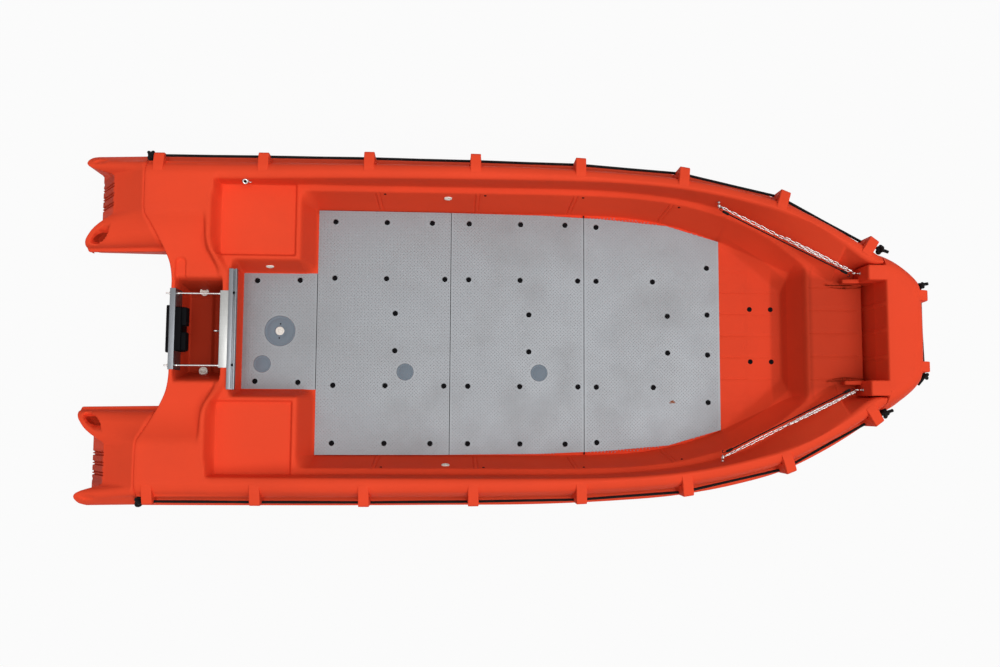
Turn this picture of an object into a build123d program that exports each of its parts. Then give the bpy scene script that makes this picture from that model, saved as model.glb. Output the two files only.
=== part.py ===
"""A five metre double-walled plastic workboat with a drop-down bow door.

+X points to the bow, +Y to port and +Z up, in millimetres. The origin is on the floor, under the
middle of the boat's own box: the boat stands on its three flat keel runners.
"""
from build123d import *
import math
import os

# Overall sizes
LENGTH = 5000.0
BEAM = 2070.0
RUNNER_Z = 0.0
OFFSETS_BEAM = 2070.0  # the breadth that the sections given in millimetres were drawn for

# Hull moulding
FLOOR_Z = 335.0
LEDGE_Z = 560.0
LEDGE_RISE = 20.0
DECK_Z = 560.0
CREST_AFT_Z = 630.0
CREST_MID_Z = 740.0
CREST_BOW_Z = 800.0
LIP_OUT = 58.0
CHANNEL_Z = 570.0
CREST_IN = 75.0
WALL_IN = 115.0
WALL_IN_BOW = 88.0
LEDGE_OUT_IN = 127.0
LEDGE_IN_IN = 160.0
FLOOR_IN = 230.0
FLOOR_IN_BOW = 275.0
FLOAT_OVERHANG = 545.0
JOINT_X = -LENGTH / 2 + 380.0
JOINT_INNER_X = -LENGTH / 2 + 490.0
FLOAT_TAIL_X = -LENGTH / 2
TRANSOM_X = -LENGTH / 2 + FLOAT_OVERHANG
SEAM = 2.0

# Cockpit, boxes and motor well
COCKPIT_AFT_X = TRANSOM_X + 357.0
AISLE_HALF = 356.0
AISLE_TOP_HALF = 402.0
BOX_PANEL_Z = 535.0
BOX_RIB = 30.0
BOX_AFT_X = TRANSOM_X + 257.0
BOX_FWD_X = TRANSOM_X + 722.0
BOX_FACE_RUN = 66.0
WELL_AFT_X = TRANSOM_X + 26.0
WELL_LENGTH = 250.0
WELL_HALF = 302.0
WELL_FLOOR_HALF = 244.0
WELL_FLOOR_Z = 250.0
WELL_STEP = 30.0
WELL_STEP_X = WELL_AFT_X + 135.0
GROOVE_WIDTH = 9.0
GROOVE_DEPTH = 3.5
FLOOR_GROOVE_PITCH = 134.5
PLATFORM_GROOVE_PITCH = 138.5
PLATE = 5.0
PLATE_GAP = 2.0

# Bow
PLATFORM_X = LENGTH / 2 - 705.0
PLATFORM_RUN = 87.0
DOOR_SEAM_X = LENGTH / 2 - 320.0
SILL_X = LENGTH / 2 - 365.0
SILL_Z = 375.0
DOOR_HALF = 380.0
DOOR_GAP = 6.0
DOOR_RECESS_HALF = 290.0
HINGE_X = LENGTH / 2 - 305.0
HINGE_Z = 385.0
HINGE_R = 9.0
DOOR_TOP_Z = 800.0
CHEEK_X = LENGTH / 2 - 420.0
ARM_X = LENGTH / 2 - 515.0
ARM_WIDTH = 24.0
ARM_TOP_Z = 660.0
CHEEK_SLOT_X = LENGTH / 2 - 538.0

# Ropes and lugs
ROPE_R = 8.0
LUG_WIDTH = 60.0
LUG_HOLE_R = 13.0
BOW_LUG_Y = 209.0
KNOT_R = 21.0
KNOT_OUT = 60.0
LUG_STATIONS = [-0.412, -0.29, -0.166, -0.04, 0.0862, 0.211, 0.329, 0.4285]

# Half-breadth of the rope channel: station as a share of the length, breadth as a share of the beam
FLOOR_STATIONS = [-0.36, -0.22, -0.08, 0.04, 0.12, 0.2, 0.266, 0.31, 0.345, 0.37]
WALL_STATIONS = [-0.36, -0.22, -0.08, 0.04, 0.12, 0.2, 0.266, 0.32, 0.36, 0.395, 0.436]
SIDE_LINE = [(-0.52, 0.4725), (-0.30, 0.4725), (-0.10, 0.4715), (0.05, 0.467), (0.12, 0.459), (0.211, 0.4386),
             (0.27, 0.4116), (0.329, 0.370), (0.378, 0.312), (0.4284, 0.2367), (0.44, 0.218)]
ROPE_LINE = [(-0.52, 0.4845), (-0.164, 0.4845), (-0.04, 0.4845), (0.0862, 0.478), (0.211, 0.454), (0.329, 0.3865),
             (0.4285, 0.2535), (0.45, 0.213)]

# Plan of the seam between hull and floats: distance forward of the outer joint, half-breadth
STERN_CURVE = [(0, 770), (1, 700), (8, 650), (33, 600), (76, 520), (122, 440), (149, 383), (162, 320),
               (166, 270), (165, 239)]
# Section of a float at its tail and at the hull: half-breadth and height of each corner
FLOAT_TAIL = [(560, 60), (500, 110), (478, 300), (468, 318), (468, 332), (486, 338), (497, 395), (530, 447),
              (590, 474), (665, 482), (900, 482), (955, 474), (990, 452), (1004, 425), (1028, 395), (1028, 310),
              (975, 180), (900, 60)]
FLOAT_HEAD = [(560, 60), (490, 120), (470, 420), (460, 438), (460, 455), (480, 462), (497, 530), (532, 592),
              (595, 622), (665, 632), (904, 632), (935, 620), (965, 598), (978, 560), (1034, 475), (1028, 400),
              (966, 190), (900, 60)]
# Boarding step in the tail of a float: plan (distance forward of the tail, half-breadth) and side view
STEP_PLAN = [(-60, 605), (25, 612), (80, 650), (200, 650), (200, 937), (145, 937), (0, 985), (-60, 1000)]
STEP_FOOT = (25.0, 280.0)
STEP_TOP = (157.0, 480.0)
STEP_GROOVES = [712.0, 771.0, 830.0, 889.0]
# Corner of the forward floor: distance forward of the platform's edge, half-breadth, height over the floor
FLOOR_CORNER = [(-465, 587, 0), (-80, 258, 0), (-53, 384, 90)]
# Plan of the door's nose: distance forward of its seam with the hull, half-breadth
NOSE = [(0, 459), (29, 447), (97, 408), (159, 358), (209, 302), (238, 240), (250, 160), (254, 60)]
# Heights of the door's outlines and how far the nose draws in at each
NOSE_LEVELS = [(405, 85), (440, 20), (475, -40), (520, -52), (545, -50), (585, -5), (665, 2), (700, 13),
               (740, 30), (775, 50), (DOOR_TOP_Z, 100)]


def along(table, x):
    """The smooth half-breadth at x: a cubic through the table with slopes from its neighbours."""
    rows = [(a * LENGTH, b * BEAM) for a, b in table]
    x = min(max(x, rows[0][0]), rows[-1][0])
    k = max(i for i in range(len(rows) - 1) if rows[i][0] <= x)
    slopes = []
    for i in range(len(rows)):
        a, b = rows[max(i - 1, 0)], rows[min(i + 1, len(rows) - 1)]
        slopes.append((b[1] - a[1]) / (b[0] - a[0]))
    (xa, ya), (xb, yb) = rows[k], rows[k + 1]
    h = xb - xa
    t = (x - xa) / h
    return ((1 + 2 * t) * (1 - t) ** 2 * ya + t * (1 - t) ** 2 * h * slopes[k]
            + t * t * (3 - 2 * t) * yb + t * t * (t - 1) * h * slopes[k + 1])


def inboard(x, distance, table=SIDE_LINE):
    """The half-breadth of a line that runs inside the channel line, measured square to it."""
    slope = (along(table, x + 5) - along(table, x - 5)) / 10
    return along(table, x) - distance * math.hypot(1, slope)


def blend(x, xa, a, xb, b):
    """a before xa, b after xb and a smooth ramp between."""
    t = min(max((x - xa) / (xb - xa), 0), 1)
    return a + (b - a) * t * t * (3 - 2 * t)


def wall_in(x):
    """How far the gunwale's inner edge lies inside the channel line."""
    return blend(x, LENGTH * 0.06, WALL_IN, LENGTH * 0.24, WALL_IN_BOW)


def bow_flare(x):
    """How much wider the ledge gets as it runs into the bow platform."""
    return 165 * max((x / LENGTH - 0.25) / 0.14, 0) ** 1.6


def crest_z(x):
    """Height of the gunwale: lower at the stern, higher at the bow."""
    if x < 0:
        return blend(x, -LENGTH * 0.44, CREST_AFT_Z, -LENGTH * 0.1, CREST_MID_Z)
    return blend(x, LENGTH * 0.1, CREST_MID_Z, LENGTH * 0.5, CREST_BOW_Z)


def keel_z(x):
    """Height of the bottom above the runners: flat amidships and rising to the bow."""
    t = max((x - LENGTH * 0.22) / (LENGTH * 0.22), 0)
    return RUNNER_Z + 300 * t * t


def channel_z(x):
    return CHANNEL_Z + blend(x, 0, 0, LENGTH * 0.45, 60)


def mirrored(points):
    """A closed section from its port half, bottom centre to top centre."""
    return points + [(-y, z) for y, z in reversed(points)]


def section(x, points):
    return Wire.make_polygon([Vector(x, y, z) for y, z in points], close=True)


def outer_section(x):
    side = along(SIDE_LINE, x)
    share = side / (0.4725 * BEAM)
    low = keel_z(x)
    cz = channel_z(x)
    top = crest_z(x)
    tunnel = low + (150 - low * 0.4) * share
    chine = max(low + 90, 190)
    half = [(90 * share, low), (330 * share, low + 0.75 * (tunnel - low)), (560 * share, tunnel),
            (690 * share, low + 4), (850 * share, low), (inboard(x, 12), chine),
            (inboard(x, -LIP_OUT + 8), cz - 170), (inboard(x, -LIP_OUT), cz - 100), (side, cz - 40),
            (side, cz + 30), (inboard(x, 15), cz + 62), (inboard(x, 45), top - 18), (inboard(x, CREST_IN), top)]
    return section(x, mirrored(half))


def level(points, z):
    """A closed level outline."""
    return Wire.make_polygon([Vector(x, y, z) for x, y in points], close=True)


def prism(points, z0, z1):
    """An upright block on a plan outline."""
    return Part() + Solid.extrude(Face(level(points, z0)), Vector(0, 0, z1 - z0))


def inner_section(x, low, high, z_low, z_high):
    return section(x, mirrored([(low, z_low), (high, z_high)]))


def widened(y):
    """A half-breadth given for the drawn beam, at this boat's beam."""
    return y * BEAM / OFFSETS_BEAM


def rectangle(x0, x1, half):
    return [(x0, half), (x1, half), (x1, -half), (x0, -half)]


def stern_outline():
    """Plan of what is cut away behind the hull: the float joints and the hollow between them."""
    far = TRANSOM_X - 1200
    curve = [(JOINT_X + x, widened(y)) for x, y in STERN_CURVE]
    edges = [Line((far, BEAM), (far, -BEAM)), Line(curve[-1], (curve[-1][0], -curve[-1][1]))]
    for sign in (1, -1):
        edges.append(Line((far, sign * BEAM), (JOINT_X, sign * BEAM)))
        edges.append(Line((JOINT_X, sign * BEAM), (JOINT_X, sign * curve[0][1])))
        edges.append(Spline([(x, sign * y) for x, y in curve]))
    return make_face(edges)


def floor_corner(sign):
    """All that lies below the sloping facet in one forward corner of the floor."""
    a, b, c = [Vector(PLATFORM_X + x, sign * widened(y), FLOOR_Z + z) for x, y, z in FLOOR_CORNER]
    facet = Plane(a, x_dir=b - a, z_dir=(b - a).cross(c - a) * sign)
    return facet * Pos(0, 0, -BEAM / 4) * Box(BEAM, BEAM, BEAM / 2)


def cockpit_void():
    """The deep part of the cockpit, from the floor up to the ledge."""
    wires = []
    for share in FLOOR_STATIONS:
        x = share * LENGTH
        floor = floor_station(x)
        ledge = inboard(x, LEDGE_IN_IN + bow_flare(x))
        wires.append(inner_section(x, floor, ledge, FLOOR_Z, LEDGE_Z + 1))
    tube = Solid.make_loft(wires, True)
    face_x = BOX_FWD_X + BOX_FACE_RUN
    side = Polyline((face_x, FLOOR_Z - 5), (PLATFORM_X - PLATFORM_RUN, FLOOR_Z - 5), (PLATFORM_X, LEDGE_Z + 5),
                    (BOX_FWD_X, LEDGE_Z + 5), close=True)
    slab = extrude(make_face(Plane.XZ * side), BEAM, both=True)
    void = Part() + tube & slab
    for sign in (1, -1):
        void -= floor_corner(sign)
    return void


def grooves(x0, x1, top, pitch, count):
    """Shallow grooves that run fore and aft in a level moulded face."""
    cut = Part()
    for k in range(-count, count + 1):
        cut += Pos((x0 + x1) / 2, k * pitch, top) * Box(x1 - x0, GROOVE_WIDTH, 2 * GROOVE_DEPTH)
    return cut


def wall_station(x):
    """Half-breadths of the wall over the ledge at its foot and at its top."""
    low = max(inboard(x, LEDGE_OUT_IN + bow_flare(x)), DOOR_RECESS_HALF)
    return low, max(inboard(x, wall_in(x)), DOOR_HALF + DOOR_GAP)


def between(stations, x, function):
    """The value at x of something that is straight between stations."""
    xs = [share * LENGTH for share in stations]
    k = max(min(i for i in range(len(xs)) if xs[i] >= x), 1)
    t = (x - xs[k - 1]) / (xs[k] - xs[k - 1])
    return function(xs[k - 1]) * (1 - t) + function(xs[k]) * t


def upper_wall_half(x, z):
    """Half-breadth of the wall over the ledge at a height."""

    def at_station(station_x):
        low, high = wall_station(station_x)
        foot = LEDGE_Z + LEDGE_RISE
        return low + (high - low) * (z - foot) / (crest_z(station_x) - 30 - foot)

    return between(WALL_STATIONS, x, at_station)


def bow_void():
    """The open space over the ledge and the bow platform, up past the crest."""
    wires = []
    for share in WALL_STATIONS:
        x = share * LENGTH
        low, high = wall_station(x)
        wires.append(section(x, mirrored([(low, LEDGE_Z), (low, LEDGE_Z + LEDGE_RISE), (high, crest_z(x) - 30),
                                          (high, crest_z(x) + 60)])))
    tube = Solid.make_loft(wires, True)
    keep = Pos(BOX_FWD_X + LENGTH / 2, 0, LEDGE_Z + 140) * Box(LENGTH, BEAM, 800)
    return Part() + tube & keep


def aisle_void():
    """The cockpit between the two aft boxes."""
    far = BOX_FWD_X + 200
    low = [(COCKPIT_AFT_X, AISLE_HALF), (far, AISLE_HALF), (far, -AISLE_HALF), (COCKPIT_AFT_X, -AISLE_HALF)]
    high = [(COCKPIT_AFT_X + 15, AISLE_TOP_HALF), (far, AISLE_TOP_HALF), (far, -AISLE_TOP_HALF),
            (COCKPIT_AFT_X + 15, -AISLE_TOP_HALF)]
    body = Part() + Solid.make_loft([level(low, FLOOR_Z), level(high, DECK_Z)], True)
    return body + prism(high, DECK_Z, DECK_Z + 400)


def box_recess(sign):
    """The shallow tray on top of one aft box, with the taller walls round it."""
    inner = AISLE_TOP_HALF + BOX_RIB
    outer = inboard(BOX_AFT_X, WALL_IN + 10)
    tray = [(BOX_AFT_X, inner), (BOX_AFT_X, outer), (BOX_FWD_X - BOX_RIB, outer), (BOX_FWD_X - BOX_RIB, inner)]
    rim = [(BOX_AFT_X - 24, AISLE_TOP_HALF), (BOX_AFT_X - 24, outer + 14), (BOX_FWD_X + 2, outer + 14),
           (BOX_FWD_X + 2, AISLE_TOP_HALF)]
    return (prism([(x, sign * y) for x, y in tray], BOX_PANEL_Z, DECK_Z + 10)
            + prism([(x, sign * y) for x, y in rim], DECK_Z, DECK_Z + 400))


def deck_cut():
    """The deck round the motor well lies lower than the crest, and slopes up to it outboard."""
    x0, x1 = TRANSOM_X - 300, COCKPIT_AFT_X + 15
    half = [(380, DECK_Z), (640, CREST_AFT_Z + 5), (640, 1000)]
    body = Solid.make_loft([section(x, mirrored(half)) for x in (x0, x1)], True)
    return Part() + body


def well_void():
    """The motor well: its side walls lean outwards and its floor drops at a step."""
    x1 = WELL_AFT_X + WELL_LENGTH
    low, high = rectangle(WELL_AFT_X, x1, WELL_FLOOR_HALF), rectangle(WELL_AFT_X, x1, WELL_HALF)
    body = Part() + Solid.make_loft([level(low, WELL_FLOOR_Z), level(high, DECK_Z)], True)
    body += prism(high, DECK_Z, DECK_Z + WELL_FLOOR_Z)
    return body + prism(rectangle(WELL_STEP_X, x1, WELL_FLOOR_HALF), WELL_FLOOR_Z - WELL_STEP, WELL_FLOOR_Z)


def door_slot():
    """The gap in the bow that the door fills."""
    x1 = DOOR_SEAM_X + 200
    return Pos((SILL_X + x1) / 2, 0, SILL_Z + 400) * Box(x1 - SILL_X, 2 * (DOOR_HALF + DOOR_GAP), 800)


def door_cheek_slot():
    """The pocket on each side of the boarding way, where the door's cheeks and arms lie."""
    outline = rectangle(CHEEK_SLOT_X, DOOR_SEAM_X + 50, DOOR_HALF + DOOR_GAP)
    return prism(outline, LEDGE_Z + LEDGE_RISE, LEDGE_Z + 600)


def rope_nodes():
    """Where the grab line passes through the lugs of one side, aft to forward."""
    return [Vector(x * LENGTH, along(ROPE_LINE, x * LENGTH), channel_z(x * LENGTH)) for x in LUG_STATIONS]


def strap_profile(crest, z):
    """Side view of a strap round a rope at (0, z): flush with the gunwale, out over the rope and down."""
    top = crest - 12
    return Polyline((-92, top), (-65, top - 4), (12, top - 34), (24, top - 64), (30, z - 70), (24, z - 125),
                    (-60, z - 120), close=True)


def lug(x, sign):
    """One moulded strap from the gunwale's shoulder down to the lip, standing round the rope."""
    slope = (along(ROPE_LINE, x + 5) - along(ROPE_LINE, x - 5)) / 10
    y = along(ROPE_LINE, x)
    z = channel_z(x)
    strap = extrude(make_face(Plane.YZ * strap_profile(crest_z(x), z)), LUG_WIDTH / 2, both=True)
    hole = Pos(0, 0, z) * Rot(0, 90, 0) * Cylinder(LUG_HOLE_R, LUG_WIDTH * 2)
    turned = Pos(x, y, 0) * Rot(0, 0, math.degrees(math.atan(slope))) * (strap - hole)
    return turned if sign > 0 else mirror(turned, Plane.XZ)


def hull():
    stations = [JOINT_X, -0.35 * LENGTH, -0.2 * LENGTH, -0.05 * LENGTH, 0.08 * LENGTH, 0.17 * LENGTH, 0.25 * LENGTH,
                0.31 * LENGTH, 0.36 * LENGTH, 0.4 * LENGTH, DOOR_SEAM_X]
    body = Part() + Solid.make_loft([outer_section(x) for x in stations], True)
    body -= extrude(stern_outline(), 2000)
    body -= cockpit_void()
    body -= bow_void()
    body -= grooves(SEAM_XS[-1] - 28, PLATFORM_X - PLATFORM_RUN - 38, FLOOR_Z, FLOOR_GROOVE_PITCH, 3)
    body -= grooves(PLATFORM_X + 15, SILL_X - 25, LEDGE_Z, PLATFORM_GROOVE_PITCH, 2)
    body -= aisle_void()
    for sign in (1, -1):
        body -= box_recess(sign)
    body -= deck_cut()
    body -= well_void()
    body -= door_slot()
    body -= door_cheek_slot()
    for node in rope_nodes():
        for sign in (1, -1):
            body += lug(node.X, sign)
    return body


# Transom fittings
CAP_T = 4.0
CAP_HALF = 237.0
CAP_LEG = 150.0
INNER_CAP_WIDTH = 45.0
INNER_CAP_HALF = 226.0
ROD_R = 5.0
ROD_Y = 200.0
ROD_Z = DECK_Z - 35.0
ROD_TAIL = 40.0
RAIL_WIDTH = 46.0
RAIL_HEIGHT = 30.0
RAIL_HALF = 352.0
HATCH_R = 93.0
HATCH_X = BOX_FWD_X - 137.0
COVER_R = 52.0
SEAM_XS = [BOX_FWD_X + 83.0, -LENGTH * 0.0678, LENGTH * 0.0966, LENGTH * 0.2658]
COVERS = [(HATCH_X - 102, -201), (SEAM_XS[1] - 272, -243), (SEAM_XS[2] - 277, -243)]
EYE_R = 13.0
EYE_WIRE = 4.0
EYE_REACH = 9.0
SEAT = 0.7
EYE_Z = 670.0
HULL_EYE_X = LENGTH * 0.249
DOOR_EYE = Vector(CHEEK_X - 34, (DOOR_RECESS_HALF + DOOR_HALF) / 2 + 10, DOOR_TOP_Z - 120)
DECK_HOOK_X = BOX_AFT_X + 168.0
CAP_R = 24.0
WALL_CAP_X = -LENGTH * 0.072
AISLE_CAP_X = BOX_FWD_X - 187.0
LINK_PITCH = 31.0
LINK_WIRE = 5.0
SLACK_LINKS = 14
SLACK_RISE = 22.0
DOOR_RIB_PITCH = 154.0
DOOR_RIB_WIDTH = 26.0


def floor_outline(x0, x1, gap):
    """Plan of the cockpit floor between two stations, drawn in by a gap."""
    xs = [x0] + [s * LENGTH for s in FLOOR_STATIONS if x0 < s * LENGTH < x1] + [x1]
    half = [(x, floor_half(x) - gap) for x in xs]
    return half + [(x, -y) for x, y in reversed(half)]


def floor_half(x):
    """Half-breadth of the floor: straight between the stations, as its moulding is."""
    return between(FLOOR_STATIONS, x, floor_station)


def floor_station(x):
    return inboard(x, blend(x, LENGTH * 0.2, FLOOR_IN, LENGTH * 0.3, FLOOR_IN_BOW))


def disc(x, y, r, z0, z1):
    return Pos(x, y, (z0 + z1) / 2) * Cylinder(r, z1 - z0)


def floor_plates():
    """Four aluminium plates, aft to forward, with their openings for the hatch and the covers."""
    top = FLOOR_Z + PLATE
    aisle = [(COCKPIT_AFT_X + PLATE_GAP + 3, AISLE_HALF - PLATE_GAP), (SEAM_XS[0] - PLATE_GAP, AISLE_HALF - PLATE_GAP)]
    plates = [prism(aisle + [(x, -y) for x, y in reversed(aisle)], FLOOR_Z, top)]
    for x0, x1 in zip(SEAM_XS, SEAM_XS[1:]):
        plates.append(prism(floor_outline(x0 + PLATE_GAP, x1 - PLATE_GAP, PLATE_GAP + 1), FLOOR_Z, top))
    plates[0] -= disc(HATCH_X, 0, HATCH_R, FLOOR_Z - 1, top + 1)
    for k, (x, y) in enumerate(COVERS):
        plates[k] -= disc(x, y, COVER_R, FLOOR_Z - 1, top + 1)
    return plates


def float_section(x):
    """Section of a port stern float, between its tail and the hull."""
    t = (x - FLOAT_TAIL_X) / (JOINT_INNER_X - FLOAT_TAIL_X)
    corners = zip(FLOAT_TAIL, FLOAT_HEAD)
    return section(x, [(widened(a[0] + (b[0] - a[0]) * t), a[1] + (b[1] - a[1]) * t) for a, b in corners])


def float_aft_cut():
    """Plan of what is cut away at the tail of a port float, round its two horns."""
    outer = [(12, 1200), (0, 1018), (0, 985), (STEP_FOOT[0], 960), (STEP_FOOT[0], 612)]
    inner = [(STEP_FOOT[0], 612), (8, 570), (0, 520), (15, 472)]
    rest = [(15, 472), (40, 400), (-200, 400), (-200, 1200), (12, 1200)]
    outer, inner, rest = [[(FLOAT_TAIL_X + x, widened(y)) for x, y in run] for run in (outer, inner, rest)]
    return make_face([Polyline(*outer), Spline(inner), Polyline(*rest)])


def step_face(depth):
    """Side view of the sloping boarding step: all that lies aft of it, moved forward by a depth."""
    slope = (STEP_TOP[0] - STEP_FOOT[0]) / (STEP_TOP[1] - STEP_FOOT[1])
    foot = FLOAT_TAIL_X + STEP_FOOT[0] + depth
    high = STEP_TOP[1] + 120
    top = foot + slope * (high - STEP_FOOT[1])
    aft = FLOAT_TAIL_X - 60
    side = Polyline((aft, 20), (foot, 20), (foot, STEP_FOOT[1]), (top, high), (aft, high), close=True)
    return make_face(Plane.XZ * side)


def stern_float(sign):
    body = Part() + Solid.make_loft([float_section(FLOAT_TAIL_X - 5), float_section(JOINT_INNER_X)], True)
    body &= Pos(-SEAM, 0, 0) * extrude(stern_outline(), 2000)
    body -= extrude(float_aft_cut(), 2000)
    plan = [(FLOAT_TAIL_X + x, widened(y)) for x, y in STEP_PLAN]
    body -= extrude(step_face(0), BEAM, both=True) & prism(plan, 0, CREST_BOW_Z)
    for y in STEP_GROOVES:
        body -= Pos(0, widened(y), 0) * extrude(step_face(GROOVE_WIDTH), GROOVE_WIDTH / 2, both=True)
    return body if sign > 0 else mirror(body, Plane.XZ)


def door_outline(inset):
    """Plan of the door at one level: the nose draws in square to itself, the back stays."""
    wing_x = DOOR_SEAM_X + DOOR_GAP
    half = [(SILL_X + DOOR_GAP * 2, DOOR_HALF), (wing_x, DOOR_HALF)]
    for k, (x, y) in enumerate(NOSE):
        before, after = NOSE[max(k - 1, 0)], NOSE[min(k + 1, len(NOSE) - 1)]
        run, rise = after[0] - before[0], after[1] - before[1]
        size = math.hypot(run, rise)
        half.append((max(wing_x + x + inset * rise / size, wing_x), y - inset * run / size))
    return half + [(x, -y) for x, y in reversed(half)]


def door_arm(sign):
    """A cheek beside the boarding way, and the wedge that reaches aft from it."""
    low = LEDGE_Z + LEDGE_RISE + 8
    root = SILL_X + 40
    cheek = [(CHEEK_X, sign * DOOR_RECESS_HALF), (root, sign * DOOR_RECESS_HALF), (root, sign * DOOR_HALF),
             (CHEEK_X, sign * DOOR_HALF)]
    side = Polyline((ARM_X, low), (root, low), (root, ARM_TOP_Z), (CHEEK_X, ARM_TOP_Z), (ARM_X, low + 6), close=True)
    middle = sign * (DOOR_RECESS_HALF + ARM_WIDTH / 2)
    wedge = Pos(0, middle, 0) * extrude(make_face(Plane.XZ * side), ARM_WIDTH / 2, both=True)
    return prism(cheek, low, DOOR_TOP_Z) + wedge


def bow_door():
    outlines = [level(door_outline(inset), z) for z, inset in NOSE_LEVELS]
    body = Part() + Solid.make_loft(outlines, True)
    foot, low = SILL_X + DOOR_GAP * 2 + 1, NOSE_LEVELS[0][0]
    face = Polyline((SILL_X - 200, low - 25), (foot, low - 25), (foot, low + 15), (foot + 42, DOOR_TOP_Z + 30),
                    (SILL_X - 200, DOOR_TOP_Z + 30), close=True)
    body -= extrude(make_face(Plane.XZ * face), DOOR_RECESS_HALF, both=True)
    for y in (-DOOR_RIB_PITCH, 0, DOOR_RIB_PITCH):
        rib = Polyline((foot - 1, 430), (foot + 47, 430), (foot + 47, 760), (foot + 32, 760), close=True)
        body += Pos(0, y, 0) * extrude(make_face(Plane.XZ * rib), DOOR_RIB_WIDTH / 2, both=True)
    for sign in (1, -1):
        body += door_arm(sign)
        body += bow_lug(sign)
    return body


def bow_rope_centre():
    return (LENGTH / 2 - 38, 640)


def bow_lug(sign):
    x, z = bow_rope_centre()
    profile = make_face(Plane.XZ * (Pos(x, 0) * strap_profile(DOOR_TOP_Z - 8, z)))
    strap = Pos(0, sign * BOW_LUG_Y, 0) * extrude(profile, LUG_WIDTH / 2, both=True)
    return strap - Pos(x, sign * BOW_LUG_Y, z) * Rot(90, 0, 0) * Cylinder(LUG_HOLE_R, LUG_WIDTH * 2)


def rope(points):
    """A taut round rope in straight runs, mitred inside the lugs, with a stopper knot at each end."""
    path = Polyline(*points)
    start = Plane(path @ 0, z_dir=path % 0)
    body = sweep(start * Circle(ROPE_R), path=path, transition=Transition.RIGHT)
    for place in (points[0], points[-1]):
        body += Pos(*place) * Sphere(KNOT_R)
    return body


def grab_line(sign):
    nodes = rope_nodes()
    aft = nodes[0] - Vector(KNOT_OUT, 0, 0)
    along_last = (nodes[-1] - nodes[-2]).normalized()
    points = [aft] + nodes[3:] + [nodes[-1] + along_last * KNOT_OUT]
    points = [Vector(p.X, sign * p.Y, p.Z) for p in points]
    return rope(points)


def bow_line():
    x, z = bow_rope_centre()
    return rope([Vector(x, sign * (BOW_LUG_Y + KNOT_OUT), z) for sign in (-1, 1)])


def chain(start, end, count):
    """Alternate flat links between two points."""
    way = (end - start)
    step = way.length / count
    frame = Plane(start, x_dir=way.normalized(), z_dir=way.normalized().cross(Vector(0, 0, 1)))
    half = LINK_PITCH / 2 + LINK_WIRE
    outer = [(-half, 4), (-half + 6, 9.5), (half - 6, 9.5), (half, 4), (half, -4), (half - 6, -9.5), (-half + 6, -9.5), (-half, -4)]
    inner = [(x * 0.76, y * 0.48) for x, y in outer]
    ring = make_face(Polyline(*outer, close=True)) - make_face(Polyline(*inner, close=True))
    link = extrude(ring, LINK_WIRE / 2, both=True)
    links = [frame * Pos(step * (k + 0.5), 0, 0) * Rot(90 * (k % 2), 0, 0) * link for k in range(count)]
    return Compound(links)


def eye(place, way, reach):
    """A round eye on a stem that seats on the moulding behind it."""
    frame = Plane(place, z_dir=way)
    ring = frame * Rot(90, 0, 0) * Torus(EYE_R, EYE_WIRE)
    return ring + frame * Pos(0, 0, EYE_R + reach / 2) * Cylinder(EYE_WIRE, reach)


def hull_eye_place(sign):
    return Vector(HULL_EYE_X, sign * (upper_wall_half(HULL_EYE_X, EYE_Z) - EYE_R - EYE_REACH - 2 * SEAT), EYE_Z)


def door_eye_place(sign):
    return Vector(DOOR_EYE.X, sign * DOOR_EYE.Y, DOOR_EYE.Z)


def deck_hook():
    """A small eye on the port side over the after box."""
    wall = inboard(BOX_AFT_X, WALL_IN + 10) + 14
    return eye(Vector(DECK_HOOK_X, wall - EYE_R - EYE_REACH, DECK_Z + 40), (0, 1, 0), EYE_REACH)


def shock_cord(sign):
    """A straight cord along the inboard side of the chain, with a hook body at each end."""
    a = hull_eye_place(sign) + Vector(40, -42 * sign, 0)
    b = door_eye_place(sign) + Vector(-60, 8 * sign, 0)
    way = (b - a).normalized()
    body = Plane(a, z_dir=way) * Pos(0, 0, (b - a).length / 2) * Cylinder(4, (b - a).length)
    for place in (a, b):
        body += Plane(place, z_dir=way) * Cylinder(8, 44)
    return body


def over_wall(y0, y1, x0, x1, z0, z1):
    return Pos((x0 + x1) / 2, (y0 + y1) / 2, (z0 + z1) / 2) * Box(x1 - x0, y1 - y0, z1 - z0)


def transom_outer_cap():
    """A folded plate over the outer wall of the motor well."""
    x0, x1 = TRANSOM_X - CAP_T, WELL_AFT_X + CAP_T
    body = over_wall(-CAP_HALF, CAP_HALF, x0, x1, DECK_Z - CAP_LEG, DECK_Z + CAP_T)
    body -= over_wall(-CAP_HALF - 1, CAP_HALF + 1, TRANSOM_X, WELL_AFT_X, DECK_Z - CAP_LEG - 1, DECK_Z)
    return body - rod_holes()


def rod_holes():
    holes = Part()
    for y in (-ROD_Y, ROD_Y):
        holes += Pos(TRANSOM_X, y, ROD_Z) * Rot(0, 90, 0) * Cylinder(ROD_R + 0.5, 800)
    return holes


def well_forward_x():
    return WELL_AFT_X + WELL_LENGTH


def transom_inner_cap():
    """A folded plate over the forward edge of the motor well."""
    x = well_forward_x()
    body = over_wall(-INNER_CAP_HALF, INNER_CAP_HALF, x, x + INNER_CAP_WIDTH, DECK_Z, DECK_Z + CAP_T)
    body += over_wall(-INNER_CAP_HALF, INNER_CAP_HALF, x - CAP_T, x, DECK_Z - 90, DECK_Z + CAP_T)
    return body - rod_holes()


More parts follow.
